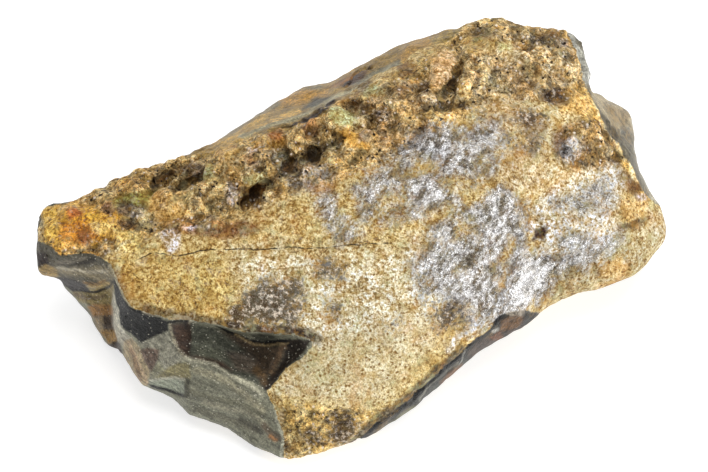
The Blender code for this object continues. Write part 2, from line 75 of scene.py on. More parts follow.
def points_of(mesh):
    """A mesh's points in millimetres, and its normals."""
    places = np.empty(len(mesh.vertices) * 3, np.float32)
    mesh.vertices.foreach_get("co", places)
    normals = np.empty(len(mesh.vertices) * 3, np.float32)
    mesh.vertex_normals.foreach_get("vector", normals)
    return places.reshape(-1, 3).astype(float) / MM, normals.reshape(-1, 3).astype(float)


def on_board(places):
    """Where the eye sees places: across and up on the board."""
    leaned = (places - AIM) @ np.array(LEAN)
    nearer = 1.0 - leaned[:, 2:] / EYE_DISTANCE
    return leaned[:, :2] / nearer + BOARD_MIDDLE


def ramp(value, low, high):
    """From 0 at low to 1 at high, eased."""
    share = np.clip((value - low) / (high - low), 0.0, 1.0)
    return share * share * (3.0 - 2.0 * share)


def lattice(places, size, seed):
    """Smooth lumps about one size across, from -1 to 1, between the values of a grid's corners."""
    wide = places.shape[1]
    scaled = places / size + np.array((seed * 7.31, seed * 3.17, seed * 5.53))[:wide]
    cell = np.floor(scaled).astype(np.int64)
    part = scaled - cell
    ease = part ** 3 * (part * (part * 6.0 - 15.0) + 10.0)
    total = np.zeros(len(places))
    # Each corner's value is shuffled out of its place in the grid by large odd numbers.
    for corner in np.ndindex(*(2,) * wide):
        mixed = (cell + corner) @ np.array((73856093, 19349663, 83492791))[:wide]
        mixed = (mixed ^ (mixed >> 13)) * 1274126177 & 0xFFFFFFFF
        value = ((mixed ^ (mixed >> 16)) & 0xFFFF) / 32767.5 - 1.0
        total += value * np.prod(np.where(corner, ease, 1.0 - ease), axis=1)
    return total


def crumple(places, size, seed):
    """Lumps with smaller lumps on them, from about -1 to 1."""
    return sum(lattice(places, size / 2 ** turn, seed + turn) / 2 ** turn for turn in range(3)) / 1.6


def wandering(spots, reach, size, seed):
    """Spots moved aside in lumps, so that what is drawn through them gets an uneven edge."""
    return spots + reach * np.column_stack((crumple(spots, size, seed), crumple(spots, size, seed + 1)))


def from_stroke(spots, start, end):
    """How far spots are from a straight stroke, where they are from its start, and the stroke."""
    along = end - start
    from_start = spots - start
    share = np.clip(from_start @ along / (along @ along), 0.0, 1.0)
    return np.linalg.norm(from_start - share[:, None] * along, axis=1), from_start, along


def inside(spots, outline):
    """How far spots are in from a closed outline on the board, less than nothing outside it."""
    line = np.array(outline)
    nearest = np.full(len(spots), np.inf)
    odd = np.zeros(len(spots), bool)
    for start, end in zip(line, np.roll(line, -1, axis=0)):
        away, from_start, along = from_stroke(spots, start, end)
        nearest = np.minimum(nearest, away)
        if along[1]:
            crosses = (start[1] > spots[:, 1]) != (end[1] > spots[:, 1])
            odd ^= crosses & (from_start[:, 0] < from_start[:, 1] / along[1] * along[0])
    return np.where(odd, nearest, -nearest)


def aside(spots, route):
    """How far spots are from a route on the board, less than nothing on its right."""
    line = np.array(route)
    nearest = np.full(len(spots), np.inf)
    for start, end in zip(line, line[1:]):
        away, from_start, along = from_stroke(spots, start, end)
        side = np.sign(along[0] * from_start[:, 1] - along[1] * from_start[:, 0])
        nearest = np.where(away < np.abs(nearest), away * side, nearest)
    return nearest


def colour(code):
    """A colour written as it looks, as linear red, green and blue."""
    seen = np.array([int(code[index:index + 2], 16) / 255.0 for index in (0, 2, 4)])
    return np.where(seen < 0.04045, seen / 12.92, ((seen + 0.055) / 1.055) ** 2.4)


def laid_over(under, over, amount):
    """Colours with others laid over them, each by its own amount."""
    return under + (over - under) * amount[:, None]


def close_to(spots, line, margin):
    """Which spots lie in the box around a line, with a margin."""
    low = np.min(line, axis=0) - margin
    high = np.max(line, axis=0) + margin
    return np.nonzero(np.all((spots > low) & (spots < high), axis=1))[0]


def painted(spots, ground, patches):
    """A colour for each spot: a ground, and patches laid over it one after the other."""
    colours = np.tile(colour(ground), (len(spots), 1))
    for code, strength, softness, outline in patches:
        near = close_to(spots, outline, softness)
        weight = strength * ramp(inside(spots[near], outline), -softness, softness)
        colours[near] = laid_over(colours[near], colour(code), weight)
    return colours


def ruled(spots, colours, lines):
    """Rules lines of colour over the colours of some spots. They fade out toward their sides."""
    for code, strength, half_width, route in lines:
        near = close_to(spots, route, half_width * 2.0)
        gap = np.abs(aside(spots[near], route)) / half_width
        weight = strength * (1.0 - ramp(gap, *LINE_FADES))
        colours[near] = laid_over(colours[near], colour(code), weight)


def keep(mesh, name, values):
    """Keeps a number, or a colour, at each point of a mesh."""
    if values.ndim == 1:
        mesh.attributes.new(name, "FLOAT", "POINT").data.foreach_set("value", values.astype(np.float32))
    else:
        filled = np.column_stack((values, np.ones(len(values)))).astype(np.float32)
        mesh.attributes.new(name, "FLOAT_COLOR", "POINT").data.foreach_set("color", filled.ravel())


# The plain solid's faces are joined and remeshed evenly, then thinned where they turn away from the eye.
merged = bmesh.new()
merged.from_mesh(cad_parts["tooth"].data)
bmesh.ops.remove_doubles(merged, verts=merged.verts, dist=1e-7)
stone_mesh = bpy.data.meshes.new("tooth_stone")
merged.to_mesh(stone_mesh)
merged.free()
stone = bpy.data.objects.new("tooth_stone", stone_mesh)
bpy.context.scene.collection.objects.link(stone)
even = stone.modifiers.new("even", "REMESH")
even.mode = "VOXEL"
even.voxel_size = FINE * MM
cooked(stone)

places, normals = points_of(stone.data)
hidden = np.clip(0.5 - COARSER_PAST_OUTLINE * normals @ TO_EYE, 0.0, 1.0)
group = stone.vertex_groups.new(name="hidden")
for step in range(1, HIDDEN_STEPS + 1):
    chosen = np.nonzero(np.ceil(hidden * HIDDEN_STEPS) == step)[0]
    group.add(chosen.tolist(), step / HIDDEN_STEPS, "REPLACE")
thin = stone.modifiers.new("thin", "DECIMATE")
thin.ratio = FINE_TRIANGLES / 2.0 / len(stone.data.polygons)
thin.vertex_group = group.name
cooked(stone)

# Where the eye sees each point, and the same moved a little, for marks and creases with uneven edges.
places, normals = points_of(stone.data)
spots = on_board(places)
facing = normals @ TO_EYE
shown = ramp(facing, *SHOWN_FACING)
ragged = wandering(spots, 0.10, 0.42, 11)
jagged = wandering(spots, 0.16, 0.36, 15)
crisp = wandering(spots, 0.03, 0.3, 13)

# The fresh break, where it meets the tan skin, and its facets, each painted in a colour of its own.
BREAK = [(0.67, 7.47), (1.20, 7.73), (1.70, 7.50), (2.00, 7.20), (2.50, 7.27), (2.93, 7.30), (3.33, 7.17),
    (3.67, 6.95), (3.83, 6.60), (4.03, 6.13), (4.23, 5.73), (4.43, 5.45), (4.83, 5.33), (5.63, 5.10),
    (6.33, 5.07), (7.33, 4.87), (8.10, 4.67), (9.00, 4.63), (9.67, 4.60), (10.37, 4.40), (10.43, 4.20),
    (10.00, 3.77), (9.50, 3.43), (9.20, 3.00), (8.87, 2.67), (9.10, 2.27), (9.27, 1.70), (9.45, 1.15),
    (9.47, 0.43), (9.33, -0.27), (5.00, -0.27), (2.00, 2.40), (0.67, 4.73)]
BREAK_GROUND = "7b7a68"
BREAK_BEHIND = [
    # colour, size of its blotches, and where their edges lie
    ("4b463b", 3.2, (0.0, 0.1)),
    ("7a6c4c", 2.2, (0.25, 0.35)),
    ("5a4c3e", 1.8, (0.3, 0.4)),
]
FACETS = [
    # colour, strength, softness, outline
    # under the nose
    ("5f5a4c", 1.0, 0.05, [(1.00, 7.73), (1.20, 7.73), (1.70, 7.50), (2.00, 7.20), (2.50, 7.27),
     (2.93, 7.30), (3.33, 7.17), (3.67, 6.95), (3.83, 6.60), (3.80, 6.33), (3.33, 6.13), (2.80, 6.20),
     (2.23, 6.40), (1.90, 6.47), (1.37, 6.53), (1.00, 6.53)]),
    ("3a2f2a", 1.0, 0.05, [(1.13, 7.33), (1.50, 7.30), (1.67, 7.00), (1.53, 6.87), (1.20, 6.87)]),
    ("a78c58", 0.9, 0.05, [(1.27, 6.80), (1.53, 6.93), (1.93, 6.80), (1.93, 6.50), (1.37, 6.50)]),
    ("7e745b", 1.0, 0.06, [(1.80, 6.83), (2.60, 6.80), (3.47, 6.87), (3.80, 6.60), (3.77, 6.40),
     (3.27, 6.40), (2.67, 6.53), (1.93, 6.60)]),
    ("37322b", 0.9, 0.03, [(2.20, 6.87), (2.67, 7.03), (3.17, 7.20), (3.20, 7.00), (2.87, 6.93)]),
    # the brown side below the nose
    ("8c7d52", 1.0, 0.05, [(2.37, 6.03), (3.00, 6.13), (3.80, 6.33), (3.80, 5.53), (3.07, 5.57),
     (2.67, 5.70)]),
    ("8f6a3c", 1.0, 0.05, [(2.90, 5.53), (3.13, 5.60), (3.83, 5.60), (3.83, 5.20), (3.07, 5.17)]),
    ("8d7a5c", 1.0, 0.06, [(3.13, 5.17), (3.47, 5.23), (3.47, 4.70), (3.27, 4.70)]),
    ("4f3f2e", 1.0, 0.05, [(3.43, 5.23), (3.83, 5.20), (3.90, 4.73), (3.47, 4.73)]),
    ("8f7040", 1.0, 0.05, [(3.30, 4.70), (3.90, 4.77), (4.00, 4.37), (3.60, 4.27)]),
    ("40342a", 1.0, 0.04, [(3.60, 4.23), (3.97, 4.43), (4.10, 3.93), (3.73, 4.03)]),
    # painted shadow in the wedge under the nose
    ("251e19", 1.0, 0.02, [(1.90, 6.47), (2.27, 6.47), (2.80, 6.27), (3.00, 6.07), (2.80, 6.03),
     (2.40, 6.03)]),
    # the pale lip, the pale facet below it and the black facet beside it
    ("aaa492", 1.0, 0.03, [(3.77, 6.07), (3.90, 5.73), (3.97, 5.33), (4.00, 4.90), (4.27, 4.57),
     (4.60, 4.13), (4.53, 4.00), (4.27, 4.07), (3.93, 4.37), (3.77, 4.87), (3.73, 5.67)]),
    ("a39374", 1.0, 0.05, [(4.13, 4.40), (4.37, 4.47), (4.73, 4.07), (5.00, 3.30), (4.90, 2.87),
     (4.53, 2.93), (4.13, 3.67)]),
    ("161614", 1.0, 0.02, [(3.80, 6.37), (3.97, 6.27), (4.07, 5.83), (4.40, 5.47), (4.73, 5.37),
     (5.57, 5.03), (5.63, 4.73), (5.03, 4.47), (4.67, 4.27), (4.53, 4.47), (4.00, 4.90), (3.97, 5.37),
     (3.87, 5.70)]),
    # small facets below the black one
    ("908d7c", 1.0, 0.03, [(4.67, 4.27), (5.03, 4.47), (5.63, 4.70), (5.77, 4.33), (6.03, 4.00),
     (6.20, 3.83), (5.93, 3.67), (5.53, 3.33), (5.27, 3.47), (5.00, 3.87)]),
    ("6f5d50", 1.0, 0.05, [(4.67, 4.07), (4.93, 4.17), (5.33, 4.07), (5.27, 3.73), (5.03, 3.33),
     (4.83, 3.67)]),
    ("8b886f", 1.0, 0.05, [(5.03, 3.33), (5.27, 3.67), (5.53, 3.33), (5.40, 3.13), (5.07, 3.13)]),
    ("7e7654", 1.0, 0.05, [(5.23, 3.13), (5.47, 3.40), (5.93, 3.67), (6.33, 3.60), (6.33, 3.10),
     (5.83, 3.13)]),
    ("8f9381", 1.0, 0.03, [(4.90, 3.00), (5.07, 3.07), (5.83, 3.13), (6.17, 3.03), (6.20, 2.57),
     (5.63, 2.73), (5.07, 2.87)]),
    # the hollow under the tan edge
    ("4a4b40", 1.0, 0.04, [(5.60, 5.03), (6.23, 5.03), (7.03, 4.83), (7.83, 4.50), (8.27, 4.30),
     (10.00, 4.23), (10.00, 3.73), (9.47, 3.40), (9.00, 2.80), (8.77, 2.83), (8.43, 2.97), (7.60, 3.30),
     (7.17, 3.60), (6.10, 3.80), (5.87, 4.20), (5.67, 4.70)]),
    ("43342a", 1.0, 0.12, [(5.70, 4.93), (6.23, 4.97), (6.33, 4.37), (6.23, 3.87), (6.03, 4.00),
     (5.80, 4.40)]),
    ("595a4c", 0.9, 0.12, [(6.33, 4.33), (7.13, 4.37), (7.53, 4.07), (7.40, 3.80), (6.67, 3.87)]),
    ("3f2a20", 1.0, 0.12, [(6.10, 3.87), (6.67, 3.83), (7.37, 3.67), (7.73, 3.40), (7.17, 3.53),
     (6.53, 3.70)]),
    ("554b40", 0.9, 0.12, [(7.53, 4.00), (8.33, 4.00), (8.73, 3.73), (8.53, 3.27), (7.87, 3.40)]),
    ("453729", 0.9, 0.12, [(7.30, 4.73), (7.87, 4.63), (8.47, 4.33), (9.07, 4.20), (9.67, 4.27),
     (9.47, 4.00), (9.20, 3.53), (8.80, 2.93), (8.47, 3.33), (8.53, 3.80), (8.00, 4.20)]),
    # painted shadow, black, under the tan edge that overhangs the hollow
    ("0f0d0b", 1.0, 0.02, [(7.10, 4.87), (7.80, 4.70), (8.27, 4.47), (8.73, 4.37), (9.67, 4.47),
     (9.67, 4.33), (9.00, 4.23), (8.47, 4.27), (7.87, 4.53)]),
    ("3c3d33", 0.8, 0.04, [(8.33, 4.60), (9.10, 4.60), (9.20, 4.43), (8.53, 4.37)]),
    ("2a231c", 1.0, 0.03, [(9.63, 4.43), (10.40, 4.40), (9.93, 3.80), (9.47, 3.40), (9.20, 3.00),
     (8.87, 2.67), (8.73, 2.87), (9.30, 3.53), (9.53, 4.00)]),
]
BREAK_LINES = [
    # colour, strength, half its width, route
    # edges of the facets and of the hollow
    ("b9ad8d", 0.9, 0.04, [(3.63, 6.90), (3.80, 6.60), (3.97, 6.23), (4.13, 5.87), (4.37, 5.53),
     (4.73, 5.40), (5.07, 5.33)]),
    ("a39b86", 0.9, 0.07, [(4.77, 5.37), (5.20, 5.27), (5.67, 5.17), (6.33, 5.03)]),
    ("0f0d0b", 1.0, 0.05, [(5.60, 5.00), (5.87, 5.03), (6.23, 5.03)]),
    ("1c1713", 0.9, 0.05, [(6.17, 5.00), (6.17, 4.80)]),
    ("a59c84", 0.9, 0.035, [(5.67, 4.93), (5.80, 4.40), (6.00, 4.03), (6.23, 3.83)]),
    ("2c1d14", 0.9, 0.07, [(6.27, 4.93), (6.33, 4.47), (6.27, 4.00)]),
    ("a08a62", 0.75, 0.04, [(7.87, 4.60), (8.23, 4.37), (8.53, 4.23), (9.00, 4.23), (9.57, 4.30)]),
    ("6b5034", 0.45, 0.10, [(9.47, 4.20), (9.30, 3.83), (9.07, 3.33)]),
    ("5f4a30", 0.8, 0.12, [(8.53, 3.40), (8.77, 3.20), (8.80, 2.97)]),
    ("aaa68f", 0.8, 0.07, [(6.07, 3.77), (6.60, 3.70), (7.17, 3.57), (7.73, 3.17), (8.27, 2.93),
     (8.73, 2.60)]),
    ("b0ad9b", 0.8, 0.04, [(4.93, 3.03), (5.33, 3.10), (5.83, 3.17), (6.17, 3.07)]),
    ("12100d", 1.0, 0.05, [(5.07, 2.87), (5.33, 2.80), (5.60, 2.73), (5.87, 2.63), (6.20, 2.53)]),
    ("4c4a3c", 0.9, 0.10, [(6.23, 3.00), (6.23, 2.57)]),
    ("c1a888", 0.8, 0.05, [(4.27, 4.33), (4.47, 4.00), (4.67, 3.53), (4.90, 2.97)]),
    ("84664c", 0.7, 0.08, [(4.37, 4.07), (4.53, 3.67), (4.67, 3.07)]),
    ("c3bfae", 0.8, 0.05, [(3.83, 5.73), (3.90, 5.27), (3.93, 4.93), (4.13, 4.67)]),
    # folds under the nose; the first, dark, is painted shadow under its lip
    ("1a1511", 1.0, 0.04, [(2.73, 6.07), (3.10, 6.00), (3.40, 6.07), (3.67, 6.20), (3.80, 6.37)]),
    ("b59a62", 0.7, 0.05, [(2.93, 6.20), (3.27, 6.20), (3.60, 6.30)]),
    ("8c6b3c", 0.7, 0.05, [(2.80, 6.33), (3.20, 6.27), (3.47, 6.37)]),
    ("6b5a44", 0.8, 0.06, [(2.47, 5.93), (2.93, 5.80), (3.47, 5.87)]),
    ("b7ae98", 0.7, 0.05, [(1.93, 6.80), (2.53, 6.73), (3.07, 6.67), (3.53, 6.67)]),
    ("8a8271", 0.7, 0.05, [(1.87, 7.00), (2.40, 7.00), (2.87, 7.17)]),
    # streaks of the smooth grey face
    ("b5b39e", 0.8, 0.05, [(9.17, 2.23), (9.23, 1.73), (9.43, 1.07), (9.40, 0.53)]),
    ("9b9479", 0.6, 0.12, [(6.53, 3.40), (7.40, 3.13), (8.13, 2.60), (8.73, 2.07)]),
    ("5c5947", 0.6, 0.10, [(6.40, 2.67), (7.20, 2.40), (8.00, 2.33), (8.73, 1.87)]),
    ("a19b83", 0.5, 0.08, [(6.80, 2.33), (7.53, 2.13), (8.27, 2.00), (8.87, 1.60)]),
    ("565242", 0.6, 0.10, [(6.53, 2.07), (7.33, 1.87), (8.00, 1.60), (8.53, 1.40)]),
    ("54402f", 0.7, 0.10, [(8.80, 1.57), (9.00, 1.33), (9.27, 1.13)]),
    ("a8713a", 0.7, 0.06, [(9.00, 1.20), (9.17, 1.07)]),
    ("3f3b31", 0.7, 0.08, [(8.00, 1.73), (8.40, 1.60), (8.73, 1.33)]),
    ("8f8770", 0.6, 0.08, [(7.40, 1.20), (8.13, 0.87), (8.93, 0.60)]),
]

# The enamel that shows: the crown past the ridge's crest, and slivers past the far edge and below the tan
# face.
ENAMEL = [
    [(6.20, 10.50), (6.90, 10.57), (7.50, 10.85), (8.33, 11.20), (9.33, 11.50), (10.20, 11.70),
        (11.00, 12.20), (11.60, 12.60), (12.20, 13.07), (12.80, 13.37), (13.47, 13.70), (13.87, 14.07),
        (14.40, 14.23), (14.87, 14.37), (15.30, 14.63), (15.43, 14.93), (14.67, 15.47), (12.67, 15.07),
        (10.00, 13.73), (6.67, 11.40)],
    [(18.83, 14.93), (19.13, 14.40), (19.37, 13.65), (19.55, 12.87), (19.83, 12.30), (20.37, 11.33),
        (20.80, 10.73), (21.13, 10.13), (21.40, 9.40), (22.07, 8.80), (23.00, 9.40), (21.33, 12.40),
        (20.00, 15.07)],
    [(11.50, 0.50), (11.77, 0.80), (12.17, 1.27), (12.57, 1.60), (12.77, 1.77), (13.10, 2.03),
        (13.37, 2.17), (13.73, 2.50), (14.30, 3.00), (14.90, 3.57), (15.37, 3.93), (15.67, 4.30),
        (16.33, 4.77), (16.63, 5.17), (16.90, 5.33), (17.50, 5.37), (18.17, 5.30), (18.67, 4.73),
        (14.00, 0.73), (11.50, -0.10)],
]
# The ground of the enamel, and what mottles it on the hidden sides.
ENAMEL_BEHIND = "6f6856"
ENAMEL_MOTTLE = "94804f"
ENAMEL_PATCHES = [
    # colour, strength, softness, outline
    # the crown
    ("9c8048", 1.0, 0.3, [(6.00, 10.07), (6.20, 11.40), (10.00, 14.07), (15.33, 15.73), (15.67, 13.73),
     (10.00, 11.40)]),
    ("c29c4f", 0.9, 0.15, [(6.33, 10.47), (7.20, 11.20), (8.73, 12.13), (9.00, 12.00), (8.33, 11.20),
     (7.13, 10.67)]),
    ("84795a", 0.9, 0.06, [(7.00, 11.13), (8.60, 12.13), (9.47, 12.57), (10.70, 13.00), (10.73, 12.80),
     (9.53, 12.33), (8.60, 11.87), (7.53, 11.13)]),
    ("c0934a", 0.9, 0.12, [(9.27, 12.47), (10.00, 12.73), (10.93, 12.73), (11.00, 12.47), (10.20, 12.27),
     (9.40, 12.20)]),
    ("454a42", 0.9, 0.10, [(10.07, 12.13), (10.53, 12.47), (11.13, 12.57), (11.07, 12.33), (10.53, 12.13)]),
    ("8f5c22", 0.9, 0.10, [(10.93, 12.80), (11.60, 13.20), (12.20, 13.43), (12.20, 13.17), (11.53, 12.87)]),
    ("4a3321", 0.9, 0.07, [(11.50, 12.93), (11.87, 13.20), (12.27, 13.37), (12.20, 13.13), (11.73, 12.87)]),
    ("8b8468", 1.0, 0.06, [(11.73, 12.87), (12.13, 13.13), (12.67, 13.47), (13.47, 13.83), (13.60, 13.67),
     (12.93, 13.30), (12.20, 12.93)]),
    ("7d8179", 1.0, 0.05, [(14.20, 14.27), (14.67, 14.57), (15.33, 14.87), (15.47, 14.60), (14.87, 14.33),
     (14.40, 14.13)]),
    ("b0903f", 0.8, 0.10, [(13.33, 13.67), (14.33, 14.33), (15.20, 15.07), (15.40, 14.73), (14.67, 14.07),
     (13.60, 13.53)]),
    ("b18a48", 0.9, 0.08, [(13.27, 13.80), (13.60, 14.27), (14.27, 14.53), (14.47, 14.20), (13.87, 13.93),
     (13.47, 13.60)]),
    # past the far edge
    ("b4b2a5", 1.0, 0.06, [(18.87, 14.93), (19.33, 14.40), (19.73, 13.67), (19.80, 12.87), (19.53, 12.93),
     (19.33, 13.73), (19.07, 14.40)]),
    ("aa9b7b", 1.0, 0.12, [(19.60, 12.93), (20.33, 12.47), (21.00, 12.20), (21.33, 11.40), (20.73, 11.27),
     (20.20, 11.73), (19.87, 12.27)]),
    ("8f7c5a", 0.8, 0.08, [(20.20, 12.20), (20.73, 12.13), (21.07, 11.87), (20.80, 11.53), (20.40, 11.73)]),
    ("76766e", 0.9, 0.05, [(20.67, 11.50), (21.00, 11.53), (21.07, 11.27), (20.73, 11.27)]),
    ("b3ae9a", 0.9, 0.06, [(21.07, 11.80), (21.40, 11.07), (21.73, 9.87), (22.07, 8.87), (21.67, 9.13),
     (21.33, 10.00), (21.13, 10.80)]),
    # below the tan face
    ("26241b", 1.0, 0.10, [(11.33, 0.40), (12.33, 1.57), (14.33, 3.40), (15.67, 4.57), (16.67, 5.40),
     (18.67, 5.73), (18.67, 4.40), (14.33, 1.07), (11.50, -0.10)]),
    ("6b6a54", 1.0, 0.05, [(12.20, 1.07), (12.80, 1.50), (13.40, 1.97), (14.00, 2.33), (14.20, 2.27),
     (13.47, 1.67), (12.53, 1.00)]),
    ("3b3d35", 1.0, 0.06, [(14.13, 2.47), (14.47, 2.87), (15.00, 3.27), (15.53, 3.80), (15.73, 3.53),
     (15.07, 2.93), (14.47, 2.47)]),
    ("8a5f3a", 0.8, 0.08, [(14.67, 2.97), (15.00, 3.30), (15.40, 3.60), (15.53, 3.40), (15.07, 3.07),
     (14.73, 2.80)]),
    ("473a30", 0.9, 0.08, [(15.60, 4.00), (16.00, 4.40), (16.47, 4.67), (16.60, 4.27), (16.13, 4.00),
     (15.67, 3.73)]),
    ("70492f", 0.9, 0.05, [(16.33, 4.47), (16.60, 4.73), (16.80, 4.60), (16.67, 4.33)]),
    ("6a4d30", 1.0, 0.05, [(16.67, 5.07), (17.07, 5.27), (17.47, 5.20), (17.40, 4.80), (16.93, 4.60),
     (16.67, 4.73)]),
    ("9b9080", 1.0, 0.05, [(16.83, 5.33), (17.20, 5.50), (17.53, 5.43), (17.47, 5.20), (17.07, 5.20)]),
    ("6f6b64", 0.9, 0.05, [(17.50, 5.57), (18.00, 5.67), (18.13, 5.33), (17.53, 5.27)]),
]
# The lower edge of the tan face, which is both a dark line and a crease.
LOWER_EDGE = [(11.73, 0.83), (12.20, 1.27), (12.73, 1.73), (13.27, 2.10), (13.73, 2.43), (14.13, 2.80),
    (14.70, 3.37), (15.33, 3.87), (15.67, 4.33), (16.07, 4.60), (16.67, 5.17)]
ENAMEL_LINES = [
    # colour, strength, half its width, route
    # along the crest
    ("2b1a0d", 1.0, 0.06, [(9.10, 11.37), (9.67, 11.57), (10.13, 11.77), (10.53, 12.00), (10.87, 12.23),
     (11.13, 12.37)]),
    ("2b1a0d", 0.9, 0.045, [(11.47, 12.87), (11.73, 13.10), (12.00, 13.30), (12.37, 13.53)]),
    ("d0a95c", 1.0, 0.08, [(7.73, 11.00), (8.37, 11.37), (8.93, 11.63), (9.47, 11.87), (9.97, 12.03)]),
    ("aaa07c", 1.0, 0.05, [(8.00, 11.20), (8.73, 11.50), (9.67, 11.77), (10.20, 11.97), (10.67, 12.23),
     (11.13, 12.50), (11.67, 12.70), (12.13, 12.90), (12.67, 13.17), (13.33, 13.50)]),
    # below the tan face
    ("090807", 1.0, 0.10, LOWER_EDGE),
    ("77756a", 0.7, 0.03, [(13.97, 2.40), (14.23, 2.77), (14.80, 3.27), (15.27, 3.63)]),
    ("b9b8ae", 0.8, 0.014, [(15.33, 3.60), (15.43, 3.83), (15.50, 4.07)]),
    # a painted glint
    ("c4bfb4", 0.8, 0.05, [(16.43, 4.70), (16.60, 4.77)]),
    ("39302a", 0.9, 0.05, [(16.77, 4.60), (17.03, 4.70), (17.27, 4.77), (17.50, 5.07)]),
    # past the far edge
    ("5b5343", 0.9, 0.06, [(19.87, 12.20), (20.13, 11.87), (20.37, 11.53), (20.60, 11.20)]),
    ("d0cfc6", 0.8, 0.04, [(19.60, 13.73), (19.67, 13.47), (19.70, 13.13)]),
]

# Single stones of the ridge and of the far end, and a painted glint, whose outlines more than one of the
# tables below uses.
HONEY_STONE = [(4.87, 9.33), (5.40, 9.40), (6.00, 9.33), (6.27, 8.87), (6.07, 8.40), (5.33, 8.40),
    (4.87, 8.67)]
YELLOW_STONE = [(3.73, 8.13), (4.20, 8.07), (4.67, 8.00), (4.63, 7.40), (4.20, 7.40), (3.87, 7.63)]
OLIVE_STONE = [(3.73, 9.00), (4.13, 9.20), (4.73, 9.33), (5.13, 9.43), (5.00, 9.00), (4.53, 8.87),
    (3.87, 8.87)]
GREEN_SLIVER = [(6.80, 10.33), (7.07, 10.27), (7.10, 9.80), (6.87, 9.60), (6.73, 9.73), (6.87, 10.07)]
PALE_GREEN_STONE = [(8.03, 9.87), (8.73, 10.00), (8.93, 9.73), (8.53, 9.53), (8.10, 9.60)]
MOSSY_STONE = [(10.80, 12.07), (11.33, 12.20), (11.73, 12.00), (11.93, 11.60), (11.67, 11.37),
    (11.13, 11.53)]
ORANGE_STONE = [(11.17, 11.40), (11.73, 11.43), (12.07, 11.27), (12.47, 10.73), (12.13, 10.63),
    (11.67, 10.80), (11.27, 11.13)]
SAGE_STONE = [(12.07, 12.73), (12.33, 12.90), (12.67, 12.87), (12.83, 12.67), (12.53, 12.50),
    (12.20, 12.53)]
HIGH_KNOB = [(14.37, 13.93), (14.87, 14.07), (15.20, 13.87), (15.07, 13.07), (14.67, 12.80), (14.33, 13.13)]
TOP_KNOB = [(15.40, 14.57), (16.13, 14.73), (16.60, 14.53), (16.47, 14.07), (15.80, 13.93), (15.47, 14.13)]
RIM_STONE = [(20.70, 9.00), (21.07, 9.30), (21.67, 9.20), (21.73, 8.87), (21.53, 8.43), (21.00, 8.30),
    (20.73, 8.53)]
FAR_LUMP = [(18.53, 11.07), (18.87, 11.53), (19.47, 11.87), (20.00, 11.93), (20.73, 11.23), (21.07, 10.47),
    (20.87, 10.20), (20.00, 10.00), (19.17, 10.07), (18.67, 10.33)]
LUMP_GLINT = [(18.77, 11.03), (19.17, 11.17), (19.37, 10.77), (19.23, 10.40), (18.93, 10.40),
    (18.70, 10.67)]

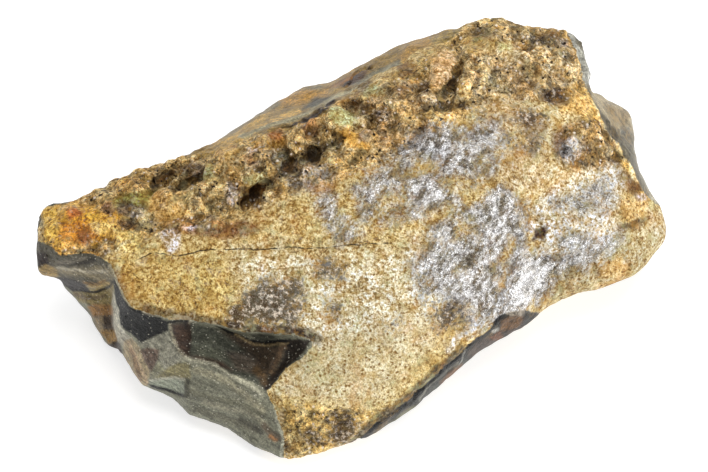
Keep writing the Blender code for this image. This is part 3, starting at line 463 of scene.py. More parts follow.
# The tan skin, and the patches of colour that lie over it.
SKIN_GROUND = "c9ae70"
PATCHES = [
    # colour, strength, softness, outline
    # broad tints of the tan face
    ("c4a65c", 0.8, 0.6, [(3.60, 7.23), (8.00, 7.00), (8.33, 5.73), (7.17, 5.00), (4.67, 5.40),
     (3.83, 6.07)]),
    ("d9ceae", 0.8, 0.7, [(7.83, 7.23), (14.00, 7.23), (15.00, 5.73), (14.33, 4.40), (13.33, 3.40),
     (11.67, 1.90), (10.33, 2.40), (9.33, 2.73), (10.00, 4.07), (8.33, 5.73)]),
    ("c6b588", 0.8, 0.6, [(10.00, 4.23), (14.00, 4.73), (13.33, 2.73), (11.33, 1.73), (9.67, 2.57)]),
    ("a98040", 0.3, 0.4, [(5.00, 6.20), (5.93, 6.33), (6.87, 5.87), (7.93, 5.73), (8.13, 5.00),
     (6.80, 5.07), (5.33, 5.33)]),
    ("b98f4c", 0.35, 0.4, [(3.93, 7.00), (5.00, 7.13), (5.87, 6.87), (5.60, 6.00), (4.67, 5.60),
     (4.13, 6.20)]),
    ("b08542", 0.3, 0.4, [(6.53, 7.87), (7.73, 8.13), (8.93, 8.20), (9.67, 7.87), (8.73, 7.60),
     (7.00, 7.53)]),
    ("dfc070", 0.9, 0.4, [(9.07, 2.40), (10.00, 2.33), (11.50, 2.13), (12.40, 2.07), (11.50, 1.07),
     (10.00, 0.40), (9.33, 0.40), (9.20, 1.40)]),
    # broad tints of the ridge and the far end
    ("d8ba7a", 0.9, 0.35, [(1.20, 8.90), (3.33, 9.40), (5.33, 10.73), (7.67, 10.73), (8.73, 11.27),
     (10.33, 11.80), (12.07, 12.60), (14.67, 14.07), (16.00, 15.40), (20.00, 15.23), (20.00, 12.80),
     (19.00, 12.47), (17.33, 12.47), (15.87, 12.20), (15.00, 11.53), (14.00, 10.67), (12.70, 10.20),
     (11.50, 9.73), (10.00, 9.40), (8.73, 8.87), (7.83, 8.27), (6.33, 7.93), (5.00, 7.87), (3.83, 7.57),
     (2.67, 7.00), (1.33, 6.80)]),
    ("d6c396", 0.7, 0.3, [(15.67, 14.73), (17.33, 14.87), (20.00, 13.73), (19.87, 12.07), (18.67, 11.73),
     (20.00, 10.07), (18.00, 9.40), (16.67, 9.40), (15.87, 11.40), (15.53, 13.07)]),
    ("bca378", 0.75, 0.3, [(16.53, 10.93), (18.20, 10.93), (18.40, 9.40), (16.67, 9.20)]),
    # the rusty nose
    ("d39a1f", 0.95, 0.3, [(1.40, 8.87), (2.67, 9.00), (3.93, 8.90), (4.40, 8.33), (4.27, 7.73),
     (3.47, 7.60), (3.17, 7.13), (2.07, 7.00), (1.53, 7.40), (1.73, 8.13)]),
    ("dcb24c", 0.9, 0.15, [(1.37, 8.73), (1.93, 8.83), (2.00, 8.27), (1.87, 7.73), (1.67, 7.43),
     (1.40, 7.53)]),
    ("c87c1c", 0.9, 0.12, [(2.00, 8.33), (2.60, 8.40), (3.20, 8.20), (3.20, 7.80), (2.80, 7.60),
     (2.13, 7.73), (1.93, 8.00)]),
    ("bb5418", 0.8, 0.08, [(2.13, 8.80), (2.47, 8.83), (2.73, 8.73), (2.67, 8.50), (2.33, 8.43)]),
    ("8a4a1e", 0.9, 0.08, [(2.63, 8.00), (2.93, 8.07), (3.07, 7.80), (2.87, 7.60), (2.67, 7.70)]),
    ("e8c46e", 0.9, 0.10, [(3.00, 8.40), (3.47, 8.40), (3.80, 8.27), (3.73, 7.97), (3.27, 8.00),
     (3.03, 8.13)]),
    ("9a5a2c", 0.9, 0.08, [(3.37, 9.10), (3.67, 9.13), (3.80, 8.90), (3.60, 8.70), (3.40, 8.80)]),
    # stones of the ridge's low half, and its holes and crevices painted dark as shade
    ("c99c48", 0.9, 0.12, [(3.73, 9.67), (4.33, 9.93), (5.07, 10.07), (5.13, 9.60), (4.67, 9.40),
     (3.93, 9.27)]),
    ("c89d56", 0.9, 0.15, HONEY_STONE),
    ("6a4a2c", 0.9, 0.08, [(5.87, 10.20), (6.33, 10.40), (6.80, 10.30), (6.80, 9.87), (6.47, 9.70),
     (6.00, 9.73)]),
    ("e6c670", 0.9, 0.12, YELLOW_STONE),
    ("85842f", 0.85, 0.12, OLIVE_STONE),
    ("8e8a4c", 0.7, 0.08, [(3.90, 8.60), (4.27, 8.53), (4.57, 8.43), (4.47, 8.33), (4.07, 8.40)]),
    ("4a4641", 1.0, 0.08, [(3.83, 8.83), (4.13, 9.00), (4.47, 8.93), (4.83, 8.97), (4.80, 8.60),
     (4.47, 8.53), (4.00, 8.60)]),
    ("4c443f", 0.9, 0.07, [(3.90, 8.37), (4.13, 8.47), (4.53, 8.37), (4.47, 8.17), (4.07, 8.17)]),
    ("2b1f17", 1.0, 0.10, [(5.07, 9.53), (5.13, 9.80), (5.53, 10.10), (5.90, 10.20), (5.93, 10.00),
     (5.53, 9.70), (5.23, 9.47)]),
    ("2b2019", 1.0, 0.08, [(5.93, 9.43), (6.13, 9.63), (6.53, 9.80), (6.63, 9.67), (6.40, 9.50),
     (6.10, 9.40)]),
    ("3a2a1f", 0.9, 0.10, [(6.13, 9.87), (6.87, 10.13), (7.07, 9.87), (6.67, 9.47)]),
    ("96995f", 0.8, 0.08, GREEN_SLIVER),
    ("b3b079", 0.8, 0.12, PALE_GREEN_STONE),
    ("21180f", 1.0, 0.10, [(8.00, 8.80), (8.20, 9.40), (8.60, 9.60), (8.93, 9.53), (8.80, 9.13),
     (8.27, 8.73)]),
    ("713524", 0.8, 0.08, [(7.70, 9.60), (7.87, 9.80), (8.07, 9.20), (8.00, 8.87), (7.80, 9.00)]),
    ("d2c6bd", 0.8, 0.08, [(7.53, 9.80), (7.77, 9.60), (7.87, 8.93), (7.67, 8.80), (7.47, 9.20)]),
    # a painted glint
    ("e9e0dc", 0.9, 0.04, [(8.27, 10.73), (8.53, 10.83), (8.67, 10.67), (8.33, 10.53)]),
    ("6e2e1f", 0.7, 0.10, [(8.13, 10.47), (8.53, 10.60), (8.60, 10.20), (8.20, 10.13)]),
    ("241a12", 1.0, 0.12, [(9.23, 10.67), (9.43, 10.87), (9.93, 10.47), (9.97, 10.00), (9.47, 9.73),
     (8.93, 9.53), (8.73, 9.67), (9.20, 10.00)]),
    ("3c3624", 0.9, 0.12, [(10.00, 10.40), (10.23, 11.00), (10.87, 11.07), (11.00, 10.73), (10.53, 10.33),
     (10.13, 10.13)]),
    ("c39a52", 0.9, 0.10, [(7.13, 10.73), (7.73, 11.00), (8.07, 10.73), (7.67, 10.33), (7.20, 10.33)]),
    ("c99f55", 0.9, 0.10, [(5.33, 8.67), (5.87, 8.87), (6.27, 8.67), (6.00, 8.37), (5.43, 8.37)]),
    ("d8a848", 0.9, 0.10, [(8.73, 11.20), (9.20, 11.43), (9.53, 11.13), (9.27, 10.77), (8.80, 10.83)]),
    ("a5622b", 0.9, 0.08, [(8.93, 11.40), (9.33, 11.53), (9.60, 11.33), (9.33, 11.07), (9.00, 11.13)]),
    ("7b8272", 0.9, 0.08, [(9.13, 10.73), (9.40, 10.87), (9.53, 10.47), (9.47, 10.07), (9.20, 10.20)]),
    # stones and holes of the ridge's high half
    ("a3a06a", 0.9, 0.07, SAGE_STONE),
    ("3e352c", 0.9, 0.07, [(11.87, 13.13), (12.20, 13.20), (12.40, 12.93), (12.20, 12.73), (11.87, 12.80)]),
    ("e3c596", 0.75, 0.2, [(12.33, 12.47), (12.87, 12.67), (13.47, 12.47), (13.47, 11.60), (12.67, 11.47),
     (12.27, 11.87)]),
    ("d6b277", 0.9, 0.12, [(12.40, 12.13), (12.80, 12.40), (13.27, 12.27), (13.47, 12.00), (13.00, 11.80),
     (12.47, 11.80)]),
    ("b5a79a", 0.9, 0.08, [(12.40, 12.00), (12.80, 12.13), (13.13, 11.93), (12.87, 11.67), (12.47, 11.73)]),
    ("e1bf85", 0.9, 0.15, [(13.47, 12.53), (14.00, 12.93), (14.53, 13.13), (14.87, 12.67), (14.40, 12.13),
     (13.80, 12.00)]),
    ("d9b06a", 0.9, 0.15, [(14.13, 13.33), (14.67, 13.73), (15.07, 13.80), (15.00, 13.33), (14.67, 12.80),
     (14.27, 12.80)]),
    ("9a7136", 0.9, 0.10, [(13.33, 13.33), (13.73, 13.47), (14.07, 13.20), (13.87, 12.83), (13.40, 12.87)]),
    ("3b3024", 0.9, 0.06, [(13.87, 13.07), (14.13, 13.13), (14.37, 12.87), (14.20, 12.63), (13.93, 12.73)]),
    ("dcb582", 0.9, 0.12, HIGH_KNOB),
    ("c3a158", 0.9, 0.15, TOP_KNOB),
    ("a3a258", 0.8, 0.06, [(15.73, 14.50), (16.03, 14.53), (16.10, 14.33), (15.80, 14.30)]),
    ("6c5334", 0.9, 0.10, [(13.20, 12.93), (13.60, 13.07), (13.80, 12.73), (13.47, 12.47), (13.20, 12.60)]),
    ("4c4236", 0.9, 0.08, [(13.27, 13.60), (13.53, 13.73), (13.67, 13.40), (13.47, 13.13), (13.27, 13.20)]),
    # the moss-green and the orange stone with what lies round them, and spots at the ridge's foot
    ("7b4a30", 0.8, 0.10, [(9.97, 11.73), (10.53, 11.87), (10.63, 11.27), (10.20, 11.13)]),
    ("b4b57c", 0.9, 0.07, [(10.80, 12.03), (11.33, 12.17), (11.73, 12.00), (12.00, 11.60), (11.73, 11.43),
     (11.13, 11.60)]),
    ("4f3c30", 0.9, 0.12, [(11.37, 12.33), (11.73, 12.47), (12.40, 12.27), (12.20, 11.87), (11.80, 12.00)]),
    ("e0a63f", 0.9, 0.12, [(11.17, 11.37), (11.73, 11.40), (12.00, 11.27), (12.40, 10.80), (12.20, 10.67),
     (11.73, 10.80), (11.27, 11.13)]),
    ("332419", 0.9, 0.06, [(11.10, 11.20), (11.40, 11.27), (11.60, 11.20), (11.40, 11.00), (11.13, 11.03)]),
    ("7f736b", 0.8, 0.08, [(11.93, 11.33), (12.20, 11.47), (12.40, 11.33), (12.27, 10.97), (11.93, 10.93)]),
    ("c9a673", 0.7, 0.25, [(12.40, 11.60), (13.27, 11.80), (14.13, 11.60), (14.07, 10.87), (13.20, 10.67),
     (12.47, 10.80)]),
    ("8e8071", 0.7, 0.15, [(14.00, 10.87), (14.93, 10.93), (15.00, 10.47), (14.13, 10.40)]),
    ("7c4a20", 0.9, 0.12, [(5.50, 8.20), (5.87, 8.27), (6.33, 8.43), (7.17, 8.47), (8.00, 8.40),
     (8.60, 8.27), (8.47, 7.97), (7.60, 7.73), (6.80, 7.83), (6.00, 7.93)]),
    ("d8cfc8", 0.8, 0.08, [(5.37, 8.07), (5.73, 8.20), (6.00, 7.87), (5.93, 7.47), (5.60, 7.27),
     (5.37, 7.67)]),
    ("d2bb95", 0.65, 0.15, [(9.53, 9.87), (10.00, 10.23), (10.87, 10.30), (10.80, 9.60), (9.93, 9.33)]),
    ("6e4a2a", 0.4, 0.25, [(8.33, 11.00), (9.20, 11.20), (9.40, 10.73), (9.00, 10.20), (8.40, 10.27)]),
    ("a07a40", 0.35, 0.3, [(8.20, 9.20), (9.73, 9.33), (9.67, 8.33), (8.33, 8.33)]),
    ("9a7240", 0.4, 0.25, [(16.20, 12.33), (17.33, 12.47), (17.47, 11.40), (16.40, 11.27)]),
    ("e0b86f", 0.6, 0.12, [(7.60, 10.20), (8.00, 10.27), (8.10, 9.60), (7.73, 9.27), (7.53, 9.67)]),
    ("a05f27", 0.6, 0.12, [(10.10, 9.67), (10.53, 9.87), (11.20, 9.67), (11.13, 9.27), (10.40, 9.20)]),
    ("7a5a3c", 0.45, 0.25, [(16.67, 13.67), (17.60, 13.80), (17.87, 12.93), (17.53, 12.27),
     (16.80, 12.40)]),
    ("5f4b3f", 0.8, 0.12, [(14.07, 10.73), (14.53, 11.00), (15.07, 10.73), (14.80, 10.33), (14.27, 10.40)]),
    # the lump at the far end, with a painted glint on its silver top
    ("836a3c", 0.9, 0.25, FAR_LUMP),
    ("6e5244", 0.8, 0.12, [(18.43, 11.27), (18.80, 11.50), (19.07, 11.07), (18.93, 10.53), (18.53, 10.53)]),
    ("e2deda", 1.0, 0.06, LUMP_GLINT),
    # the far rim
    ("e3b75c", 0.9, 0.15, [(18.53, 12.67), (19.47, 13.07), (19.80, 12.40), (20.40, 11.40), (20.93, 10.67),
     (21.27, 10.00), (21.60, 9.20), (21.33, 9.07), (20.87, 10.00), (20.40, 10.73), (19.87, 11.60),
     (19.33, 12.13), (18.73, 12.00)]),
    ("c8a466", 0.9, 0.08, RIM_STONE),
    ("5b4027", 0.8, 0.08, [(20.60, 8.27), (21.13, 8.27), (21.60, 8.47), (21.60, 8.27), (21.13, 8.03),
     (20.67, 8.07)]),
    ("6a4c2a", 0.8, 0.12, [(20.53, 10.00), (21.13, 10.07), (21.40, 9.53), (21.20, 9.13), (20.73, 9.40)]),
    ("d8ad62", 0.9, 0.12, [(18.67, 12.57), (19.17, 12.63), (19.67, 12.47), (19.80, 12.00), (19.17, 11.93),
     (18.67, 11.87)]),
    ("594628", 0.9, 0.10, [(18.10, 12.73), (18.53, 12.80), (18.93, 12.67), (18.87, 12.27), (18.40, 12.27),
     (18.10, 12.40)]),
    ("b8985f", 0.9, 0.10, [(19.47, 11.60), (19.93, 11.53), (20.07, 11.07), (19.87, 10.73), (19.47, 10.87)]),
    ("6f4f26", 0.9, 0.08, [(19.67, 11.93), (20.13, 11.73), (20.53, 11.13), (20.73, 10.67), (20.47, 10.73),
     (20.07, 11.33)]),
    ("8d8058", 0.9, 0.08, [(18.63, 14.00), (19.20, 14.07), (19.33, 13.80), (18.87, 13.73)]),
    ("dcae55", 0.9, 0.06, [(18.90, 14.70), (19.20, 14.73), (19.43, 14.53), (19.37, 14.37), (19.07, 14.47)]),
    ("6b4d24", 0.9, 0.08, [(20.93, 9.90), (21.20, 9.97), (21.40, 9.40), (21.13, 9.30), (20.90, 9.53)]),
    ("b3a4a0", 0.7, 0.06, [(21.20, 9.27), (21.50, 9.30), (21.57, 9.07), (21.27, 9.00)]),
    # the lip at the lower right, and pale stretches above it and left of the silver
    ("d3a557", 0.9, 0.08, [(19.77, 7.17), (20.07, 7.17), (20.13, 6.87), (19.83, 6.77)]),
    ("cf9f58", 0.8, 0.10, [(19.67, 6.53), (20.13, 6.67), (20.53, 6.53), (20.40, 6.13), (19.87, 6.07)]),
    ("b9a47b", 0.9, 0.15, [(21.63, 8.80), (22.27, 8.67), (22.40, 7.73), (21.83, 7.53), (21.50, 8.00)]),
    ("ab9d76", 0.8, 0.35, [(18.53, 5.73), (20.00, 6.13), (21.33, 6.53), (22.33, 7.73), (21.33, 8.20),
     (20.13, 7.73), (19.13, 7.53), (18.53, 6.73)]),
    ("e9e0ca", 0.85, 0.25, [(17.73, 8.87), (18.53, 9.47), (19.67, 10.00), (20.53, 10.27), (20.80, 9.67),
     (20.53, 8.67), (20.60, 7.87), (20.00, 7.13), (18.87, 6.87), (18.07, 7.13)]),
    ("ddd0b2", 0.6, 0.3, [(13.60, 7.87), (14.67, 8.00), (15.20, 7.40), (15.27, 6.07), (14.33, 5.73),
     (13.67, 6.40)]),
    ("cba25c", 0.7, 0.12, [(20.00, 7.00), (20.73, 7.20), (21.07, 6.80), (20.60, 6.33), (20.00, 6.53)]),
    # the star-shaped pit, painted dark as shade, a painted highlight beside it, and the brown fold below it
    ("3c221d", 1.0, 0.05, [(17.77, 8.27), (18.00, 8.13), (18.30, 8.27), (18.17, 7.93), (18.20, 7.63),
     (17.93, 7.80), (17.70, 7.73), (17.80, 8.00)]),
    ("e6e2e0", 0.9, 0.04, [(17.47, 8.27), (17.70, 8.40), (17.87, 8.20), (17.73, 7.97), (17.53, 8.07)]),
    ("5f4a44", 0.9, 0.05, [(18.30, 7.33), (18.53, 7.17), (18.90, 7.07), (18.87, 6.90), (18.53, 7.00),
     (18.23, 7.13)]),
    ("8a7d6c", 0.95, 0.12, [(17.27, 8.00), (17.57, 7.73), (17.33, 7.00), (16.93, 6.13), (16.67, 5.53),
     (16.53, 5.73), (16.87, 6.67)]),
    # blotches of the far end, most of them dark
    ("58442e", 0.6, 0.15, [(15.90, 14.87), (16.30, 14.73), (16.27, 14.53), (15.87, 14.60)]),
    ("5a4a30", 0.60, 0.12, [(17.53, 14.80), (18.17, 14.73), (18.73, 14.70), (18.67, 14.20), (18.13, 14.17),
     (17.67, 14.27)]),
    ("56462c", 0.60, 0.10, [(17.10, 14.63), (17.43, 14.63), (17.53, 14.27), (17.20, 14.20)]),
    ("5a4628", 0.85, 0.10, [(17.67, 13.73), (18.03, 13.77), (18.10, 13.27), (17.77, 13.13)]),
    ("5c4a2e", 0.80, 0.15, [(18.13, 12.80), (18.60, 12.93), (19.03, 12.67), (18.93, 12.27),
     (18.33, 12.30)]),
    ("7d745c", 0.70, 0.12, [(18.67, 14.07), (19.27, 14.13), (19.33, 13.67), (18.87, 13.60)]),
    ("dcd8d2", 0.8, 0.07, [(18.60, 14.47), (18.90, 14.47), (18.97, 14.23), (18.70, 14.20)]),
    ("6b4b2c", 0.7, 0.18, [(17.33, 11.80), (17.87, 11.93), (18.30, 11.53), (18.13, 11.00), (17.53, 11.07)]),
    ("6b4a2a", 0.6, 0.15, [(15.47, 11.80), (15.93, 11.73), (15.93, 11.20), (15.53, 11.20)]),
    ("a9b06c", 0.6, 0.12, [(16.67, 14.47), (17.13, 14.47), (17.07, 14.07), (16.67, 14.07)]),
    # deep gaps between the high knobs, painted dark as shade, and dirt along the crest
    ("241a12", 1.0, 0.05, [(15.23, 13.53), (15.43, 13.47), (15.07, 12.73), (14.87, 12.53), (14.80, 12.67),
     (15.07, 13.13)]),
    ("32251a", 0.9, 0.06, [(14.60, 12.47), (14.87, 12.60), (14.93, 12.27), (14.67, 12.07)]),
    ("46301f", 0.8, 0.04, [(15.90, 13.47), (16.00, 13.43), (15.97, 12.93), (15.83, 12.87)]),
    ("7a6638", 0.6, 0.2, [(11.00, 12.67), (11.73, 13.13), (12.40, 13.27), (12.27, 12.73), (11.47, 12.40)]),
    ("5a5135", 0.7, 0.06, [(11.33, 12.93), (11.87, 13.27), (12.40, 13.40), (12.20, 13.07), (11.67, 12.80)]),
]

# How each part of the skin is finished: rough along the ridge, on the lump at the far end and at the very
# bottom, but calm on the ridge's smooth stones. It is worn silvery in the middle and on the right, where
# the silver's pale specks are painted reflection on a glossy, partly metal finish, stained dark in
# blotches, porous at the bottom, beaten with shallow dents on the right, and crossed by one long crack.
ROUGH = [
    [(1.00, 9.07), (3.33, 9.73), (5.33, 10.90), (7.67, 10.90), (8.73, 11.40), (10.33, 11.93),
        (12.07, 12.73), (14.67, 14.20), (16.00, 15.57), (20.00, 15.40), (20.00, 12.67), (19.00, 12.40),
        (17.33, 12.47), (15.87, 12.13), (15.00, 11.53), (14.00, 10.73), (12.70, 10.30), (11.50, 9.80),
        (10.00, 9.40), (8.73, 8.87), (7.83, 8.27), (6.33, 7.93), (5.00, 7.87), (3.83, 7.57), (2.67, 6.80),
        (1.00, 6.67)],
    FAR_LUMP,
    [(9.27, 2.27), (12.40, 2.07), (11.50, 1.07), (10.00, 0.33), (9.27, 0.47)],
]
CALM = [
    [(1.33, 8.80), (2.00, 8.97), (2.80, 9.00), (3.47, 8.67), (3.93, 8.53), (3.73, 7.93), (3.27, 7.73),
        (2.80, 7.60), (2.00, 7.67), (1.53, 7.80)],
    HONEY_STONE,
    MOSSY_STONE,
    ORANGE_STONE,
    GREEN_SLIVER,
    PALE_GREEN_STONE,
    YELLOW_STONE,
    OLIVE_STONE,
    [(1.40, 8.87), (2.00, 8.93), (2.67, 8.97), (2.80, 8.60), (2.00, 8.33), (1.47, 8.20)],
    SAGE_STONE,
    HIGH_KNOB,
    TOP_KNOB,
    RIM_STONE,
    [(16.67, 14.40), (17.33, 14.20), (17.47, 13.73), (16.93, 13.60), (16.60, 14.00)],
    [(5.33, 8.67), (5.87, 8.87), (6.20, 8.67), (5.93, 8.40), (5.47, 8.40)],
    [(8.73, 11.20), (9.20, 11.40), (9.47, 11.07), (9.20, 10.80), (8.80, 10.87)],
    [(7.13, 10.73), (7.73, 11.00), (8.00, 10.73), (7.67, 10.40), (7.20, 10.40)],
    [(18.67, 12.53), (19.20, 12.60), (19.67, 12.40), (19.73, 12.07), (19.13, 12.00), (18.73, 12.00)],
]
POLISHED = [
    # amount, outline
    (0.9, [(10.47, 9.27), (10.87, 9.47), (11.20, 9.20), (11.33, 8.67), (11.87, 8.20), (11.87, 7.67),
     (11.33, 7.67), (10.87, 8.13)]),
    (0.55, [(9.60, 9.47), (9.93, 10.07), (10.60, 10.40), (11.00, 10.07), (10.87, 9.53), (10.20, 9.33)]),
    (0.9, [(11.73, 9.53), (12.93, 10.47), (13.93, 11.13), (14.67, 11.87), (15.07, 11.87), (15.67, 11.47),
     (16.67, 11.80), (16.87, 11.07), (16.67, 10.33), (16.00, 9.50), (15.17, 8.83), (14.33, 8.47),
     (13.07, 8.13), (12.20, 8.40)]),
    (1.0, [(14.17, 8.13), (15.20, 8.90), (16.67, 9.47), (17.67, 9.00), (18.17, 8.13), (18.27, 7.23),
     (17.67, 6.07), (16.67, 5.07), (15.67, 5.00), (14.17, 5.73), (13.67, 6.80)]),
    (1.25, [(16.93, 6.87), (17.67, 7.53), (18.33, 7.20), (18.73, 6.80), (18.20, 5.93), (17.40, 5.13),
     (16.67, 4.53), (16.33, 5.00), (16.67, 5.73)]),
    (0.6, [(17.67, 8.80), (18.53, 9.47), (19.67, 9.93), (20.60, 10.27), (20.87, 9.67), (20.47, 8.67),
     (19.33, 8.40), (20.00, 7.93), (18.87, 7.33), (18.27, 7.20), (18.00, 8.07)]),
    (0.3, [(16.60, 10.73), (17.33, 10.87), (18.07, 10.67), (18.20, 9.60), (17.47, 9.20), (16.67, 9.40)]),
    (0.65, [(18.67, 8.07), (20.67, 8.20), (21.13, 7.40), (20.00, 6.67), (18.67, 6.40)]),
    (0.22, [(5.50, 8.20), (6.33, 8.43), (7.17, 8.47), (8.50, 8.30), (8.47, 7.97), (7.60, 7.73),
     (6.00, 7.93)]),
    (0.9, LUMP_GLINT),
]
STAINED = [
    # amount, outline
    (1.0, [(8.03, 5.73), (8.33, 6.13), (8.73, 6.37), (9.47, 6.33), (10.13, 6.33), (10.33, 5.93),
     (10.07, 5.40), (9.67, 4.90), (8.73, 4.97), (7.93, 4.87), (7.60, 5.13)]),
    (0.6, [(10.60, 5.93), (11.00, 6.07), (11.37, 5.67), (11.30, 5.07), (10.93, 5.13)]),
    (0.55, [(10.30, 7.00), (11.00, 7.13), (11.60, 6.87), (11.47, 6.40), (10.60, 6.40)]),
    (0.7, [(14.20, 5.73), (14.87, 5.87), (15.67, 5.60), (15.60, 4.73), (14.67, 4.53), (14.27, 5.00)]),
    (1.0, [(10.87, 1.20), (11.13, 1.73), (11.67, 2.00), (11.97, 1.60), (11.67, 1.00), (11.20, 0.87)]),
    (1.0, [(10.13, 1.13), (10.53, 1.40), (10.80, 1.27), (10.73, 0.87), (10.27, 0.87)]),
    (0.40, [(16.77, 12.27), (18.27, 12.27), (18.53, 11.47), (18.20, 10.67), (17.07, 10.40),
     (16.60, 11.07)]),
    (0.35, [(14.67, 12.47), (15.67, 12.40), (16.67, 12.00), (16.53, 11.67), (15.40, 11.80),
     (14.53, 12.00)]),
    (0.5, [(12.80, 5.00), (13.20, 5.13), (13.47, 4.87), (13.13, 4.60), (12.80, 4.67)]),
    (0.4, [(15.67, 14.87), (16.20, 14.93), (16.40, 14.53), (15.93, 14.33)]),
    (0.4, [(17.20, 14.60), (18.67, 14.73), (18.73, 14.20), (17.67, 14.07)]),
    (0.6, [(17.87, 12.87), (18.87, 12.93), (19.00, 12.33), (18.20, 12.20)]),
]
POROUS = [
    [(9.00, 4.73), (11.00, 5.07), (14.00, 5.73), (16.67, 5.40), (14.00, 2.40), (11.67, 0.90), (9.33, 0.23),
        (9.00, 2.40)],
]
BEATEN = [
    [(14.67, 8.23), (15.53, 9.07), (16.67, 9.53), (17.67, 9.07), (18.53, 9.40), (20.60, 10.20),
        (21.67, 8.73), (20.67, 7.73), (20.00, 6.40), (18.53, 5.87), (16.83, 5.07), (15.67, 5.20),
        (14.33, 6.07)],
    [(15.33, 11.40), (16.67, 12.13), (17.13, 11.40), (16.67, 10.40), (16.00, 9.57), (15.07, 8.87),
        (14.67, 9.40), (15.20, 10.40)],
]
CRACK = [(4.67, 7.13), (5.13, 7.33), (5.67, 7.23), (6.20, 7.25), (6.77, 7.40), (7.33, 7.43), (8.47, 7.43),
    (9.33, 7.45), (9.57, 7.53), (10.23, 7.47), (10.70, 7.45), (11.27, 7.55), (12.17, 7.60), (12.93, 7.63)]

# Thin lines and edges in the skin.
SKIN_LINES = [
    # colour, strength, half its width, route
    # dark lines along the edge of the break; the two darkest, over the hollow, are painted shadow under the
    # overhanging tan edge
    ("4b3a26", 0.8, 0.16, [(4.87, 5.47), (5.67, 5.23), (6.53, 5.10), (7.40, 4.97), (8.20, 4.77),
     (8.93, 4.73), (9.73, 4.70), (10.40, 4.53)]),
    ("2a2119", 0.8, 0.12, [(7.60, 4.93), (8.20, 4.80), (8.93, 4.77), (9.73, 4.73), (10.40, 4.53)]),
    ("3b2e24", 0.8, 0.20, [(9.87, 4.67), (10.27, 4.60), (10.53, 4.40)]),
    ("6b4f2e", 0.6, 0.18, [(3.73, 6.87), (4.00, 6.27), (4.33, 5.67), (4.80, 5.47)]),
    ("5b4a36", 0.6, 0.14, [(9.13, 2.53), (9.33, 1.93), (9.50, 1.20), (9.57, 0.53)]),
    # the worn edge above the dark enamel, and a painted highlight along the fold beside it
    ("2f261a", 0.9, 0.15, [(11.67, 0.87), (12.13, 1.33), (12.67, 1.80), (13.20, 2.17), (13.67, 2.53),
     (14.20, 3.03), (14.80, 3.60), (15.40, 4.10)]),
    ("d6d3cb", 0.8, 0.12, [(17.07, 6.07), (16.60, 5.53), (16.00, 5.00), (15.40, 4.53), (14.93, 4.13)]),
    ("8b8276", 0.7, 0.06, [(17.13, 5.73), (16.67, 5.27), (16.13, 4.80), (15.60, 4.40)]),
    # the far rim
    ("e8cf92", 0.9, 0.08, [(19.30, 13.87), (19.47, 13.33), (19.60, 12.80), (19.77, 12.47), (20.00, 12.00),
     (20.33, 11.40), (20.70, 10.87), (20.97, 10.40), (21.23, 9.67)]),
    ("4a3824", 0.7, 0.05, [(21.33, 8.33), (21.00, 8.20), (20.67, 8.20)]),
    ("6a5040", 0.6, 0.05, [(21.67, 8.47), (21.37, 8.33)]),
    # the lower edge of the nose
    ("2e2013", 0.8, 0.06, [(1.57, 7.60), (1.87, 7.40), (2.20, 7.33), (2.60, 7.40), (3.00, 7.47),
     (3.23, 7.37)]),
    ("f0e6c0", 0.9, 0.035, [(3.90, 7.50), (4.07, 7.63), (4.30, 7.63)]),
    ("3a2a1c", 0.8, 0.05, [(3.27, 7.50), (3.47, 7.67), (3.70, 7.63), (3.83, 7.47)]),
    ("e9d9a0", 0.8, 0.04, [(3.87, 7.40), (4.07, 7.57), (4.27, 7.60)]),
    ("e6cf95", 0.8, 0.04, [(3.40, 7.57), (3.60, 7.73), (3.73, 7.67)]),
    ("3b2c22", 0.8, 0.07, [(2.87, 7.00), (3.27, 7.20), (3.53, 7.40)]),
    # folds at the ridge's foot
    ("6a4424", 0.8, 0.05, [(5.33, 8.33), (5.87, 8.40), (6.67, 8.53), (7.40, 8.50)]),
    ("dcd0c6", 0.8, 0.06, [(6.13, 8.07), (6.53, 8.17), (6.93, 8.13)]),
    ("c9bdb2", 0.7, 0.06, [(10.07, 10.00), (10.40, 10.20), (10.87, 10.27)]),
    ("d9cec6", 0.8, 0.08, [(7.60, 9.67), (7.77, 9.27), (7.83, 8.87)]),
]

# Where the tan still shows through the silver.
TAN_ISLANDS = [
    [(17.67, 8.47), (18.20, 8.33), (18.33, 7.80), (18.13, 7.40), (17.67, 7.53), (17.53, 8.00)],
    [(16.97, 7.87), (17.47, 7.60), (17.30, 7.00), (16.90, 6.13), (16.63, 5.60), (16.47, 5.80),
        (16.70, 6.67), (16.93, 7.33)],
    [(12.40, 9.20), (13.07, 9.47), (13.60, 9.33), (13.40, 8.93), (12.73, 8.73)],
    [(15.07, 8.33), (15.40, 8.60), (15.80, 8.47), (15.67, 8.07), (15.20, 8.00)],
    [(13.47, 8.00), (14.00, 8.13), (14.27, 7.73), (14.00, 7.20), (13.53, 7.40)],
    [(13.80, 10.40), (14.33, 10.67), (14.67, 10.40), (14.33, 10.00), (13.87, 10.00)],
    [(18.53, 8.67), (19.00, 8.87), (19.20, 8.60), (18.87, 8.27), (18.53, 8.33)],
    [(14.73, 9.67), (15.20, 9.80), (15.60, 9.60), (15.47, 9.23), (14.93, 9.27)],
    [(14.13, 8.73), (14.67, 8.80), (14.93, 8.47), (14.47, 8.27)],
    [(15.53, 9.20), (16.00, 9.33), (16.13, 9.07), (15.67, 8.93)],
]

